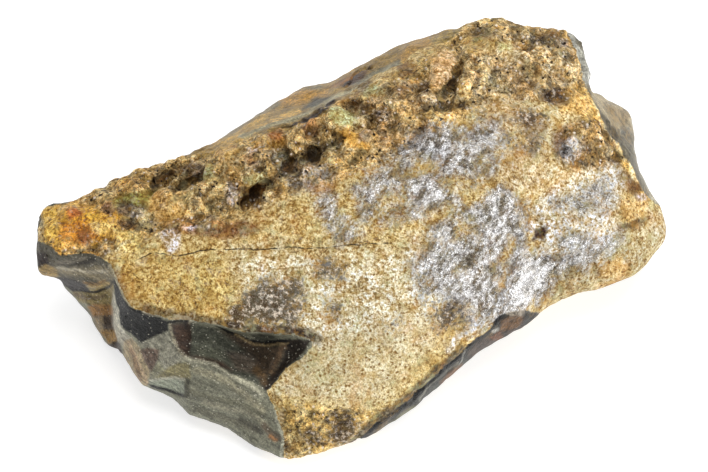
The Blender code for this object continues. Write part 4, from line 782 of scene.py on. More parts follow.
# Stones that stand out of the skin and hollows worn into it, and the creases between them.
LUMPS = [
    # height, softness, outline
    (0.14, 0.20, MOSSY_STONE),
    (0.12, 0.15, ORANGE_STONE),
    (0.12, 0.12, [(11.93, 11.40), (12.23, 11.47), (12.37, 11.27), (12.23, 10.97), (11.97, 10.97)]),
    (0.16, 0.20, [(6.10, 9.87), (6.53, 10.13), (6.80, 10.00), (6.67, 9.77), (6.33, 9.63), (6.13, 9.60)]),
    (0.12, 0.20, [(5.10, 9.73), (5.50, 9.50), (5.60, 9.20), (5.33, 8.87), (5.00, 9.07), (4.93, 9.40)]),
    (0.10, 0.15, [(6.80, 10.33), (7.07, 10.30), (7.13, 9.87), (6.90, 9.63), (6.73, 9.80)]),
    (0.12, 0.20, [(6.43, 9.47), (6.87, 9.60), (7.13, 9.33), (7.07, 8.93), (6.67, 8.80), (6.47, 9.07)]),
    (0.14, 0.15, [(7.40, 9.60), (7.67, 9.67), (7.87, 9.20), (7.93, 8.67), (7.67, 8.60), (7.47, 9.07)]),
    (0.10, 0.20, [(3.87, 9.33), (4.67, 9.67), (5.00, 9.47), (5.00, 9.13), (4.33, 9.00), (3.87, 8.93)]),
    (0.12, 0.20, [(8.77, 10.53), (9.07, 10.73), (9.27, 10.27), (9.00, 9.87), (8.73, 10.00)]),
    (0.10, 0.15, [(12.33, 12.27), (12.80, 12.47), (13.27, 12.27), (13.07, 11.87), (12.53, 11.87)]),
    (0.10, 0.20, [(13.33, 12.53), (14.00, 12.67), (14.53, 12.27), (14.33, 11.73), (13.67, 11.80)]),
    (0.08, 0.20, [(9.53, 9.40), (10.00, 9.53), (10.20, 9.27), (9.87, 9.00), (9.53, 9.07)]),
    (-0.10, 0.30, [(18.53, 9.33), (19.33, 9.60), (20.20, 9.80), (20.47, 9.47), (20.00, 8.93), (19.00, 8.73),
     (18.53, 8.93)]),
    (-0.08, 0.40, [(17.07, 7.00), (17.80, 7.40), (18.27, 7.00), (18.00, 6.27), (17.33, 5.60), (16.80, 5.53),
     (16.80, 6.07)]),
    (-0.08, 0.30, [(15.67, 8.00), (16.33, 8.20), (16.73, 7.73), (16.47, 7.13), (15.87, 7.20)]),
    (0.08, 0.25, [(16.93, 9.20), (17.33, 9.27), (17.60, 8.80), (17.33, 8.33), (17.00, 8.60)]),
    (-0.07, 0.25, [(14.87, 7.20), (15.40, 7.33), (15.67, 6.87), (15.27, 6.47), (14.87, 6.73)]),
    (0.07, 0.25, [(15.93, 6.73), (16.47, 6.93), (16.73, 6.53), (16.33, 6.00), (15.87, 6.20)]),
    (-0.07, 0.25, [(15.67, 10.40), (16.13, 10.73), (16.47, 10.40), (16.07, 9.93)]),
    (0.07, 0.25, [(14.80, 10.13), (15.27, 10.40), (15.53, 10.07), (15.07, 9.73)]),
    (-0.06, 0.25, [(13.07, 10.00), (13.60, 10.27), (13.80, 9.87), (13.33, 9.53)]),
]
CREASES = [
    # depth, half its width, route
    (0.17, 0.10, [(5.93, 10.20), (5.60, 10.00), (5.33, 9.80), (5.13, 9.57)]),
    (0.15, 0.07, [(5.97, 9.47), (6.23, 9.53), (6.53, 9.70)]),
    (0.14, 0.09, [(6.60, 9.20), (6.80, 9.07), (7.00, 8.93)]),
    (0.24, 0.14, [(8.60, 9.47), (8.40, 9.20), (8.20, 8.87)]),
    (0.15, 0.08, [(9.33, 10.97), (9.53, 10.73), (9.67, 10.53)]),
    (0.18, 0.14, [(9.93, 10.53), (9.67, 10.30), (9.40, 10.07)]),
    (0.14, 0.12, [(10.87, 11.00), (10.67, 10.80), (10.40, 10.53), (10.13, 10.33)]),
    (0.17, 0.09, [(11.50, 12.27), (11.70, 12.07), (11.90, 11.77)]),
    (0.17, 0.08, [(11.20, 11.07), (11.40, 11.17), (11.60, 11.17)]),
    (0.10, 0.06, [(12.20, 11.77), (12.60, 11.67), (13.00, 11.53)]),
    (0.13, 0.08, [(12.67, 11.37), (12.80, 11.23), (12.93, 11.07), (13.20, 10.93), (13.60, 10.83)]),
    (0.17, 0.07, [(15.27, 13.53), (15.13, 13.20), (15.00, 12.87), (14.87, 12.53), (14.77, 12.20)]),
    (0.10, 0.06, [(9.53, 11.50), (10.13, 11.73), (10.53, 11.97), (10.87, 12.20), (11.13, 12.33)]),
    (0.08, 0.05, [(11.47, 12.83), (11.73, 13.07), (12.00, 13.27), (12.37, 13.50)]),
    (0.08, 0.05, LOWER_EDGE),
    (0.10, 0.06, [(4.93, 8.63), (5.20, 8.50), (5.47, 8.43), (5.73, 8.47)]),
    (0.10, 0.05, [(6.30, 9.50), (6.47, 9.40), (6.57, 9.27), (6.47, 9.00), (6.40, 8.77)]),
    (0.13, 0.06, [(3.97, 8.97), (4.33, 8.83), (4.80, 8.90)]),
    (0.13, 0.06, [(3.97, 8.27), (4.20, 8.20), (4.40, 8.30)]),
    (0.13, 0.06, [(7.73, 9.53), (7.83, 9.20), (7.93, 8.87)]),
    (0.08, 0.06, [(12.03, 12.43), (12.27, 12.37), (12.47, 12.43)]),
    (0.08, 0.06, [(10.27, 9.73), (10.60, 9.53), (11.00, 9.40), (11.20, 9.20)]),
    (0.08, 0.05, [(8.77, 9.80), (8.93, 9.60), (9.33, 9.60)]),
    (0.10, 0.06, [(19.40, 8.53), (19.40, 8.33), (19.87, 8.17), (20.60, 8.10), (21.13, 8.17),
     (21.53, 8.37)]),
    (0.10, 0.06, [(18.37, 7.30), (18.60, 7.13), (18.90, 7.03)]),
    (0.08, 0.05, [(17.67, 7.00), (17.27, 6.53), (16.87, 6.07), (16.47, 5.53), (16.07, 5.00)]),
    (0.08, 0.05, [(18.43, 6.40), (18.27, 6.07), (18.00, 5.77), (17.67, 5.60), (17.33, 5.57)]),
    (0.07, 0.05, [(18.20, 9.50), (18.00, 9.13), (17.80, 8.80)]),
    (0.07, 0.05, [(17.23, 9.33), (17.57, 8.87), (17.40, 8.40), (17.67, 8.07)]),
    (0.11, 0.045, [(18.87, 6.93), (18.90, 6.53), (19.00, 6.07)]),
    (0.11, 0.045, [(19.27, 7.00), (19.33, 6.60), (19.47, 6.20)]),
    (0.11, 0.045, [(19.73, 7.00), (19.77, 6.67), (19.93, 6.27)]),
    (0.11, 0.045, [(18.53, 6.80), (18.53, 6.40), (18.67, 6.00)]),
    (0.08, 0.06, [(20.13, 10.73), (20.40, 10.40), (20.60, 10.13)]),
    (0.10, 0.045, [(20.20, 7.27), (20.27, 6.87), (20.40, 6.40)]),
    (0.10, 0.045, [(20.73, 7.53), (20.83, 7.13), (20.93, 6.67)]),
    (0.10, 0.045, [(18.00, 6.07), (18.33, 5.87), (18.87, 5.73)]),
    (0.10, 0.045, [(21.20, 7.80), (21.40, 7.40), (21.53, 7.13)]),
    (0.08, 0.05, [(3.27, 7.50), (3.43, 7.67), (3.67, 7.63), (3.80, 7.47)]),
]


def within(outlines, softness):
    """How much each shown point lies within any of some outlines, from 0 to 1."""
    shares = [ramp(inside(ragged, outline), -softness, softness) for outline in outlines]
    return np.max(shares, axis=0) * shown


# On the hidden sides the break goes on round the left end, as far as a slanting line across the stone, and
# straight behind what is seen of it. The enamel covers the rest, but for a tan rim along the outline.
BREAK_ENDS_AT = -6.6
BREAK_SLANT = 0.35
BREAK_IN_BEHIND = 0.6
TAN_RIM = 0.3
TURNED_AWAY = (-0.1, 0.9)
ENAMEL_REACH = 1.6
ENAMEL_IN_BEHIND = 0.2
NO_CRACK = 9.0
rim_wander = 0.5 * crumple(places, 2.4, 21)
enamel_behind = (ramp(-facing, *TURNED_AWAY) * ENAMEL_REACH - TAN_RIM + rim_wander) * (1.0 - shown)
break_wander = 0.6 * crumple(places, 2.0, 22)
broken_behind = BREAK_ENDS_AT + BREAK_SLANT * places[:, 1] - places[:, 0] + break_wander
break_shown = inside(crisp, BREAK)
break_depth = np.where(shown > 0.5, break_shown, np.maximum(broken_behind, break_shown - BREAK_IN_BEHIND))
enamel_shown = np.max([inside(crisp, outline) for outline in ENAMEL], axis=0)
enamel_in = enamel_shown * shown - ENAMEL_IN_BEHIND
enamel_depth = np.where(shown > 0.5, enamel_shown, np.maximum(enamel_behind, enamel_in))
crack_aside = np.where(shown > 0.5, aside(crisp, CRACK), NO_CRACK)

# The three colours of each point: as skin, as a facet of the break and as enamel.
skin = painted(ragged, SKIN_GROUND, PATCHES)
ruled(ragged, skin, SKIN_LINES)
skin = laid_over(skin, colour(SKIN_GROUND), 1.0 - shown)
facet = painted(crisp, BREAK_GROUND, FACETS)
ruled(crisp, facet, BREAK_LINES)
facet_behind = np.tile(colour(BREAK_GROUND), (len(places), 1))
for seed, (code, size, limits) in enumerate(BREAK_BEHIND, 31):
    facet_behind = laid_over(facet_behind, colour(code), ramp(crumple(places, size, seed), *limits))
facet = laid_over(facet, facet_behind, 1.0 - shown)
enamel = painted(crisp, ENAMEL_BEHIND, ENAMEL_PATCHES)
ruled(crisp, enamel, ENAMEL_LINES)
mottled = ramp(crumple(places, 2.6, 23), -0.1, 0.5)
mottled_enamel = laid_over(colour(ENAMEL_BEHIND), colour(ENAMEL_MOTTLE), mottled)
enamel = laid_over(enamel, mottled_enamel, 1.0 - shown)

# Each finish ends softly, over so many millimetres. The hidden sides are a little rough, the calm stones
# stay a little rough, the whole skin is somewhat porous, and a little silver is left on the tan islands.
SOFT = {"rough": 0.25, "calm": 0.12, "porous": 1.2, "polished": 0.7, "tan": 0.45, "stained": 0.5,
        "beaten": 0.5}
ROUGH_BEHIND = 0.25
CALMED = 0.75
LEAST_POROUS = 0.6
LESS_SILVER = 0.75
EDGE = (-0.03, 0.05)
rough = np.maximum(within(ROUGH, SOFT["rough"]), ROUGH_BEHIND * (1.0 - shown))
rough *= 1.0 - CALMED * within(CALM, SOFT["calm"])
porous = np.maximum(within(POROUS, SOFT["porous"]), LEAST_POROUS)
polished = np.max([amount * within([outline], SOFT["polished"]) for amount, outline in POLISHED], axis=0)
polished *= 1.0 - LESS_SILVER * within(TAN_ISLANDS, SOFT["tan"])
stained = np.max([amount * within([outline], SOFT["stained"]) for amount, outline in STAINED], axis=0)
beaten = within(BEATEN, SOFT["beaten"])
broken = ramp(break_depth, *EDGE)

# The solid's flat faces are smoothed away, but for the facets of the break and the sole.
SMOOTHED_TURNS = 14
GIVE = 0.5
FACETS_KEPT = 0.93
SOLE_BELOW = 0.02
edges = np.empty(len(stone.data.edges) * 2, np.int32)
stone.data.edges.foreach_get("vertices", edges)
one, other = edges.reshape(-1, 2).T
neighbours = np.bincount(np.concatenate((one, other)), minlength=len(places))
give = GIVE * (1.0 - FACETS_KEPT * broken)[:, None]
for turn in range(SMOOTHED_TURNS):
    sums = [np.bincount(one, places[other, axis], len(places)) +
            np.bincount(other, places[one, axis], len(places)) for axis in range(3)]
    means = np.column_stack(sums) / neighbours[:, None]
    means[:, 2] = np.where(places[:, 2] < SOLE_BELOW, places[:, 2], means[:, 2])
    places += give * (means - places)

# Lumps and hollows stand out from the smoothed face by their heights, and creases are cut in to their
# depths, here more and there less.
CREASE_FADES = (0.1, 1.3)
relief = np.zeros(len(places))
for height, softness, outline in LUMPS:
    relief += height * ramp(inside(ragged, outline), -softness * 0.5, softness)
cut = np.zeros(len(places))
for depth, half_width, route in CREASES:
    gap = np.abs(aside(jagged, route)) / half_width
    cut = np.maximum(cut, depth * (1.0 - ramp(gap, *CREASE_FADES)))
cut *= 0.7 + 0.5 * crumple(spots, 0.5, 17)
places += normals * ((relief - cut) * shown * (1.0 - broken))[:, None]
stone.data.vertices.foreach_set("co", (places * MM).astype(np.float32).ravel())
stone.data.update()

# What the weathering, the finish and the loose grains need to know of each point. Nothing moves near the
# sole, and no grain lies there or on a face that turns away.
FREE_ABOVE = (0.03, 0.45)
GRAINS_FACING = (0.3, 0.4)
GRAINS_ABOVE = (0.5, 0.6)
for_grains = ramp(facing, *GRAINS_FACING) * ramp(places[:, 2], *GRAINS_ABOVE)
known = {
    "free": ramp(places[:, 2], *FREE_ABOVE),
    "rough": rough,
    "crumbed": rough * for_grains,
    "chipped": broken * for_grains,
    "cut": cut * shown,
    "porous": porous,
    "polished": polished,
    "stained": stained,
    "beaten": beaten,
    "break_depth": break_depth,
    "enamel_depth": enamel_depth,
    "crack_aside": crack_aside,
    "skin_colour": skin,
    "facet_colour": facet,
    "enamel_colour": enamel,
}
for name, values in known.items():
    keep(stone.data, name, values)


def node(tree, kind, inputs=None, **settings):
    """Adds a node, sets it, and feeds its inputs from values or from other nodes."""
    made = tree.nodes.new(kind)
    for name, value in settings.items():
        setattr(made, name, value)
    for key, value in (inputs or {}).items():
        if isinstance(value, bpy.types.NodeSocket):
            tree.links.new(value, made.inputs[key])
        else:
            made.inputs[key].default_value = value
    return made


def sum_of(tree, operation, *values):
    """One step of arithmetic in a tree."""
    return node(tree, "ShaderNodeMath", dict(enumerate(values)), operation=operation).outputs[0]


def vector_of(tree, operation, inputs):
    """One step of arithmetic with a place or a direction in a tree."""
    return node(tree, "ShaderNodeVectorMath", inputs, operation=operation).outputs[0]


def eased(tree, value, low, high, made_low=0.0, made_high=1.0):
    """A value that goes smoothly from one end to the other between low and high."""
    inputs = {"Value": value, "From Min": low, "From Max": high, "To Min": made_low, "To Max": made_high}
    return node(tree, "ShaderNodeMapRange", inputs, interpolation_type="SMOOTHSTEP").outputs["Result"]


def kept_number(tree, geometry, name, value, domain="POINT"):
    """Keeps a number under a name on a tree's geometry."""
    inputs = {"Geometry": geometry, "Name": name, "Value": value}
    kept = node(tree, "GeometryNodeStoreNamedAttribute", inputs, data_type="FLOAT", domain=domain)
    return kept.outputs[0]


def sheet_of(tree, sizes):
    """Opens a tree for a surface, with a named input for each of its sizes."""
    tree.interface.new_socket(name="Geometry", in_out="INPUT", socket_type="NodeSocketGeometry")
    for label in sizes:
        tree.interface.new_socket(name=label, in_out="INPUT", socket_type="NodeSocketFloat")
    tree.interface.new_socket(name="Geometry", in_out="OUTPUT", socket_type="NodeSocketGeometry")
    return node(tree, "NodeGroupInput").outputs


def close_sheet(tree, geometry):
    """Closes a tree: what it made becomes real mesh of the stone's material."""
    whole = node(tree, "GeometryNodeRealizeInstances", {"Geometry": geometry}).outputs[0]
    faced = node(tree, "GeometryNodeSetMaterial", {"Geometry": whole, "Material": dentine}).outputs[0]
    node(tree, "NodeGroupOutput", {0: faced})


def set_sizes(modifier, sizes):
    """Gives a modifier's tree its sizes."""
    for item in modifier.node_group.interface.items_tree:
        if item.in_out == "INPUT" and item.name in sizes:
            modifier[item.identifier] = sizes[item.name]


# The weathering lifts and sinks each point along its normal, in millimetres.
WEATHERING = {
    "Lump size": 0.5,
    "Lump height": 0.07,
    "Lump warp": 0.4,
    "Knob size": 1.1,
    "Knob height": 0.36,
    "Lift limit": 0.10,
    "Lift softness": 0.1,
    "Crumb size": 0.26,
    "Crumb height": 0.09,
    "Pit spacing": 0.6,
    "Pit depth": 0.12,
    "Ripple size": 0.5,
    "Ripple height": 0.035,
    "Dent size": 0.75,
    "Dent depth": 0.30,
    "Splinter size": 0.35,
    "Splinter height": 0.05,
    "Flute size": 0.5,
    "Flute height": 0.05,
    "Crack depth": 0.03,
}
# How many times to a millimetre the lumps' walls bend, how wide the crack gapes on each side, and how short
# splinters and flutes are in each direction.
BENDS = 1.6
CRACK_GAPES = 0.06
SPLINTER_STRETCH = (1.0, 0.7, 0.35)
FLUTE_STRETCH = (1.0, 1.0, 0.12)


def weathering_tree():
    """The tree that weathers the stone's surface."""
    tree = bpy.data.node_groups.new("weathering", "GeometryNodeTree")
    sizes = sheet_of(tree, WEATHERING)

    def marked(name):
        """A number that was kept at each point."""
        return node(tree, "GeometryNodeInputNamedAttribute", {"Name": name}, data_type="FLOAT").outputs[0]

    def times(value, other):
        return sum_of(tree, "MULTIPLY", value, other)

    def noise(size, detail=2.0, stretch=(1.0, 1.0, 1.0)):
        """Lumps of a size, from -1 to 1."""
        placed = vector_of(tree, "MULTIPLY", {0: in_mm, 1: stretch})
        inputs = {"Vector": placed, "Scale": sum_of(tree, "DIVIDE", 1.0, size), "Detail": detail}
        found = node(tree, "ShaderNodeTexNoise", inputs).outputs[0]
        return times(sum_of(tree, "SUBTRACT", found, 0.5), 2.0)

    def cells(size):
        """Bent cells of a size: how far a point is from the middle of its own, and its three numbers."""
        inputs = {"Vector": warped, "Scale": sum_of(tree, "DIVIDE", 1.0, size)}
        found = node(tree, "ShaderNodeTexVoronoi", inputs).outputs
        return found["Distance"], node(tree, "ShaderNodeSeparateXYZ", {0: found["Color"]}).outputs

    place = node(tree, "GeometryNodeInputPosition").outputs[0]
    in_mm = vector_of(tree, "SCALE", {0: place, "Scale": 1.0 / MM})
    bend = node(tree, "ShaderNodeTexNoise", {"Vector": in_mm, "Scale": BENDS, "Detail": 2.0}).outputs[1]
    centred = vector_of(tree, "SUBTRACT", {0: bend, 1: (0.5, 0.5, 0.5)})
    shift = vector_of(tree, "SCALE", {0: centred, "Scale": sizes["Lump warp"]})
    warped = vector_of(tree, "ADD", {0: in_mm, 1: shift})
    broken_part = eased(tree, marked("break_depth"), *EDGE)
    whole_part = sum_of(tree, "SUBTRACT", 1.0, broken_part)
    enamel_part = times(eased(tree, marked("enamel_depth"), -0.05, 0.1), whole_part)
    rough_part = times(marked("rough"), whole_part)
    beaten_part = times(marked("beaten"), whole_part)

    # The ridge: large knobs, lumps on them and crumbs on those, cut off at the top and bored with pits.
    from_lump, lump_numbers = cells(sizes["Lump size"])
    lumps = times(eased(tree, from_lump, 0.1, 0.75, 0.5, -1.0), sizes["Lump height"])
    crumbs = times(noise(sizes["Crumb size"], 3.0), sizes["Crumb height"])
    from_pit, pit_numbers = cells(sizes["Pit spacing"])
    deep = times(eased(tree, from_pit, 0.15, 0.5, 1.0, 0.0), sizes["Pit depth"])
    pits = times(deep, eased(tree, pit_numbers[0], 0.45, 0.6))
    swell = sum_of(tree, "SUBTRACT", sum_of(tree, "ABSOLUTE", noise(sizes["Knob size"], 2.0)), 0.2)
    knobs = times(swell, sizes["Knob height"])
    rubble = sum_of(tree, "ADD", knobs, sum_of(tree, "ADD", lumps, crumbs))
    bored = sum_of(tree, "SUBTRACT", rubble, pits)
    blunted = sum_of(tree, "SMOOTH_MIN", bored, sizes["Lift limit"], sizes["Lift softness"])
    ridge = times(blunted, rough_part)

    # The rest: ripples in the skin, dents where it was beaten, splinters on the break, flutes along the
    # enamel, and the crack.
    ripples = times(times(noise(sizes["Ripple size"], 3.0), sizes["Ripple height"]), whole_part)
    fold = sum_of(tree, "ABSOLUTE", noise(sizes["Dent size"], 3.0))
    dents = times(times(sum_of(tree, "SUBTRACT", fold, 0.15), sizes["Dent depth"]), beaten_part)
    splinter = noise(sizes["Splinter size"], 3.0, SPLINTER_STRETCH)
    splinters = times(times(splinter, sizes["Splinter height"]), broken_part)
    flute = noise(sizes["Flute size"], 1.0, FLUTE_STRETCH)
    flutes = times(times(flute, sizes["Flute height"]), enamel_part)
    gap = eased(tree, sum_of(tree, "ABSOLUTE", marked("crack_aside")), 0.0, CRACK_GAPES, 1.0, 0.0)
    cracks = times(gap, sizes["Crack depth"])

    total = sum_of(tree, "SUBTRACT", ridge, cracks)
    for part in (ripples, dents, splinters, flutes):
        total = sum_of(tree, "ADD", total, part)
    total = times(total, marked("free"))
    normal = node(tree, "GeometryNodeInputNormal").outputs[0]
    offset = vector_of(tree, "SCALE", {0: normal, "Scale": times(total, MM)})
    moved = node(tree, "GeometryNodeSetPosition", {"Geometry": sizes["Geometry"], "Offset": offset})
    lifted = kept_number(tree, moved.outputs[0], "lifted", total)
    close_sheet(tree, kept_number(tree, lifted, "lump_pick", lump_numbers[1]))
    return tree


# How far across the marks in the finish are, in millimetres.
MARK = {
    "grain": 0.055,
    "crystal": 0.075,
    "speck": 0.11,
    "pore": 0.14,
    "glint": 0.15,
    "worn spot": 0.15,
    "stain": 0.15,
    "split": 0.15,
    "dot": 0.2,
    "clod": 0.24,
    "streak": 0.26,
    "crack bridge": 0.28,
    "dent": 0.3,
    "enamel streak": 0.3,
    "crumb": 0.32,
    "hue": 0.38,
    "tint": 0.42,
    "thread": 0.5,
    "cloud": 0.6,
    "cast": 0.7,
    "drift": 0.9,
    "crystal crowd": 1.1,
    "enamel wear": 1.6,
}
# How much of the ground each covers at its strongest.
COVER = {
    "lump tint": 0.22,
    "ochre": 0.42,
    "cream": 0.26,
    "moss": 0.34,
    "rust": 0.24,
    "crumb": 0.15,
    # Thread, sunk and cut lay painted shade, and glint lays painted highlights.
    "thread": 0.85,
    "glint": 0.75,
    "sunk": 0.75,
    "cut": 0.78,
    "film": 0.88,
    "thick film": 0.55,
    "worn spot": 0.72,
    "stain": 0.85,
    "crack": 0.95,
    "enamel wear": 0.6,
    "crystal": 0.75,
}
SHADES = {
    "ochre": "b08c46",
    "cream": "e6d9b8",
    "moss": "aeb183",
    "rust": "b9772f",
    "pore": "7c5c28",
    # painted shade, of hollows, creases and the ridge's dark threads and dots
    "sunk": "23160a",
    # a painted highlight
    "glint": "eadfd2",
    "crack": "2a1d10",
    "polished dark": "69645d",
    # pale specks of painted reflection in the silver film
    "pale painted reflection": "f7f8fb",
    "stained dark": "2a1c18",
    "stained pale": "d4c6b6",
    "worn enamel": "8f7447",
    # painted glints of crystal faces on the break
    "crystal": "d8d2bf",
}
# Runs of tints, each with its place between 0 and 1. Skin and specks are multiplied by theirs, which are
# this bright on the whole.
TINT_LEVEL = 0.4545
SKIN_TINTS = ((0.33, "7a6a4e"), (0.43, "9c9580"), (0.50, "b4b4b4"), (0.57, "c0c7d4"), (0.68, "c8d5f2"))
SPECK_TINTS = ((0.36, "6e5d3f"), (0.45, "a3998a"), (0.52, "b8b9bb"), (0.64, "c6cfea"))
RIDGE_TINTS = ((0.34, "33251a"), (0.42, "6e4726"), (0.48, "a06f35"),
               (0.54, "c99b52"), (0.60, "c7ab78"), (0.68, "e2d3ac"))
LUMP_TINTS = ((0.0, "8a5227"), (0.18, "d09a48"), (0.34, "5a3c26"), (0.5, "d6b57a"),
              (0.66, "a98550"), (0.84, "e8d9b4"), (1.0, "93877a"))
# The silver's streaks and the break's splits lean against the picture's level.
STREAK_LEAN = math.radians(55.0)
SPLIT_LEAN = math.radians(28.0)
# Half the width of the dark in the crack, and how far the edges of break and enamel wander, in millimetres.
CRACK_HALF = 0.018
EDGE_WANDER = 0.12
BREAK_EDGE = (-0.015, 0.015)
ENAMEL_EDGE = (-0.02, 0.02)
# How ragged the patches of silver and of stain are: by their drift, and by the specks in each.
PATCH_DRIFT = 2.6
SILVER_SPECKLED = 1.6
STAIN_SPECKLED = 2.2
# Most of a noise lies between these.
MOST = (0.3, 0.7)
# How glossy the stone is, how rough each finish is to light, how far the silver is like metal, how high the
# marks stand in the finest relief, and how high that is in millimetres.
GLOSS = 0.24
ROUGHNESS = {"skin": 0.58, "polished": 0.24, "enamel": 0.45, "break": 0.52}
FILM_METALLIC = 0.7
RELIEF = {"speck": 1.4, "grain": 0.5, "pore": -0.35, "crumb": 8.0, "streak": 2.2, "dent": 3.0}
RELIEF_HEIGHT = 0.035


def bare_surface(material):
    """Clears a material's tree and gives it its one shader."""
    material.use_nodes = True
    tree = material.node_tree
    tree.nodes.clear()
    shader = node(tree, "ShaderNodeBsdfPrincipled", {"Specular IOR Level": GLOSS})
    node(tree, "ShaderNodeOutputMaterial", {"Surface": shader.outputs[0]})
    return tree, shader


def dentine_material():
    """Worn dentine, tan with pores and silvery where polished, with its enamel and break in one finish."""
    material = bpy.data.materials.new("weathered_dentine")
    tree, shader = bare_surface(material)
    object_place = node(tree, "ShaderNodeTexCoord").outputs["Object"]
    in_mm = vector_of(tree, "SCALE", {0: object_place, "Scale": 1.0 / MM})

    def marked(name, output="Fac"):
        """A number or a colour that was kept at each point."""
        return node(tree, "ShaderNodeAttribute", attribute_name=name).outputs[output]

    def leaned(angle):
        """Places turned round the line to the eye."""
        inputs = {"Vector": in_mm, "Axis": TO_EYE, "Angle": angle}
        return node(tree, "ShaderNodeVectorRotate", inputs, rotation_type="AXIS_ANGLE").outputs[0]

    def noise(mark, detail=2.0, stretch=(1.0, 1.0, 1.0), harsh=0.6, of=in_mm):
        """Blotches as wide as a mark, from 0 to 1."""
        placed = vector_of(tree, "MULTIPLY", {0: of, 1: stretch})
        inputs = {"Vector": placed, "Scale": 1.0 / MARK[mark], "Detail": detail, "Roughness": harsh}
        return node(tree, "ShaderNodeTexNoise", inputs).outputs[0]

    def cells(mark):
        """Cells as wide as a mark: how far a point is from the middle of its own, and its three numbers."""
        found = node(tree, "ShaderNodeTexVoronoi", {"Vector": in_mm, "Scale": 1.0 / MARK[mark]}).outputs
        return found["Distance"], node(tree, "ShaderNodeSeparateColor", {0: found["Color"]}).outputs

    def times(*values):
        product = values[0]
        for value in values[1:]:
            product = sum_of(tree, "MULTIPLY", product, value)
        return product

    def plus(*values):
        total = values[0]
        for value in values[1:]:
            total = sum_of(tree, "ADD", total, value)
        return total

    def minus(value, less):
        return sum_of(tree, "SUBTRACT", value, less)

    def toward(value, goal, amount):
        """A number drawn some of the way to another."""
        return plus(times(amount, minus(goal, value)), value)

    def blend(amount, ground, over, mode="MIX"):
        """A colour laid over another, each from a node or by its shade's name."""
        mixed = node(tree, "ShaderNodeMix", {0: amount}, data_type="RGBA", blend_type=mode)
        for key, value in ((6, ground), (7, over)):
            if isinstance(value, bpy.types.NodeSocket):
                tree.links.new(value, mixed.inputs[key])
            else:
                mixed.inputs[key].default_value = (*colour(SHADES[value]), 1.0)
        return mixed.outputs[2]

    def shaded(ground, *values):
        """A colour made darker or lighter by numbers."""
        level = times(*values)
        grey = node(tree, "ShaderNodeCombineColor", {0: level, 1: level, 2: level}).outputs[0]
        return blend(1.0, ground, grey, "MULTIPLY")

    def tinted(value, stops):
        """The colour of a run of tints at a number."""
        tints = node(tree, "ShaderNodeValToRGB", {0: value})
        while len(tints.color_ramp.elements) < len(stops):
            tints.color_ramp.elements.new(0.5)
        for element, (place, code) in zip(tints.color_ramp.elements, stops):
            element.position = place
            element.color = (*colour(code), 1.0)
        return tints.outputs[0]

    def multiplied(amount, ground, tints):
        """A colour multiplied by tints, but no brighter on the whole."""
        return blend(amount, ground, blend(1.0, shaded(ground, 1.0 / TINT_LEVEL), tints, "MULTIPLY"))

    speck = noise("speck", 3.0)
    grain = noise("grain", 1.0)
    crumb = noise("crumb", 5.0, harsh=0.7)
    grains = eased(tree, grain, *MOST, 0.82, 1.18)
    centred = minus(speck, 0.5)
    rough_part = marked("rough")
    lifted = marked("lifted")

    # The edges of the break and of the enamel wander a little, and polish and stain end in ragged patches.
    wander = times(centred, EDGE_WANDER)
    broken_part = eased(tree, plus(marked("break_depth"), wander), *BREAK_EDGE)
    enamel_part = eased(tree, plus(marked("enamel_depth"), wander), *ENAMEL_EDGE)
    drift = times(minus(noise("drift", 5.0, harsh=0.7), 0.5), PATCH_DRIFT)
    patchy = eased(tree, plus(marked("polished"), times(centred, SILVER_SPECKLED), drift), 0.10, 1.05)
    polished_part = times(patchy, eased(tree, marked("polished"), 0.0, 0.55))
    blotched = eased(tree, plus(marked("stained"), times(centred, STAIN_SPECKLED), drift), 0.15, 0.85)
    stained_part = times(blotched, eased(tree, marked("stained"), 0.0, 0.35))

    # Tan skin: cloudy, speckled, tinged in four colours, and bored with pores that each have their own
    # strength. On the ridge each lump has its own tint, and the tints of the skin are weaker.
    painted_skin = marked("skin_colour", "Color")
    lump_tints = tinted(marked("lump_pick"), LUMP_TINTS)
    ground = blend(rough_part, painted_skin, blend(COVER["lump tint"], painted_skin, lump_tints))
    skin_share = times(eased(tree, rough_part, 0.0, 1.0, 1.0, 0.55),
                       eased(tree, marked("porous"), 0.6, 1.0, 1.0, 0.5))
    skin = multiplied(skin_share, ground, tinted(noise("tint", 6.0, harsh=0.78), SKIN_TINTS))
    speck_share = times(eased(tree, rough_part, 0.0, 1.0, 1.0, 0.9),
                        eased(tree, marked("porous"), 0.6, 1.0, 1.0, 0.6))
    skin = multiplied(speck_share, skin, tinted(speck, SPECK_TINTS))
    clouds = eased(tree, noise("cloud", 4.0), *MOST, 0.86, 1.10)
    skin = shaded(skin, clouds, grains)
    hue = noise("hue", 4.0, harsh=0.65)
    skin = blend(eased(tree, hue, 0.50, 0.66, 0.0, COVER["ochre"]), skin, "ochre")
    skin = blend(eased(tree, hue, 0.34, 0.46, COVER["cream"], 0.0), skin, "cream")
    streaked = leaned(-STREAK_LEAN)
    cast = noise("cast", 4.0, harsh=0.7, of=streaked)
    skin = blend(eased(tree, cast, 0.52, 0.66, 0.0, COVER["moss"]), skin, "moss")
    skin = blend(eased(tree, cast, 0.34, 0.46, COVER["rust"], 0.0), skin, "rust")
    from_pore, pore_numbers = cells("pore")
    pore_round = eased(tree, plus(from_pore, times(centred, 0.6)), 0.16, 0.44, 1.0, 0.0)
    pored = times(pore_round, eased(tree, pore_numbers[0], 0.1, 0.7), marked("porous"))
    skin = blend(pored, skin, "pore")
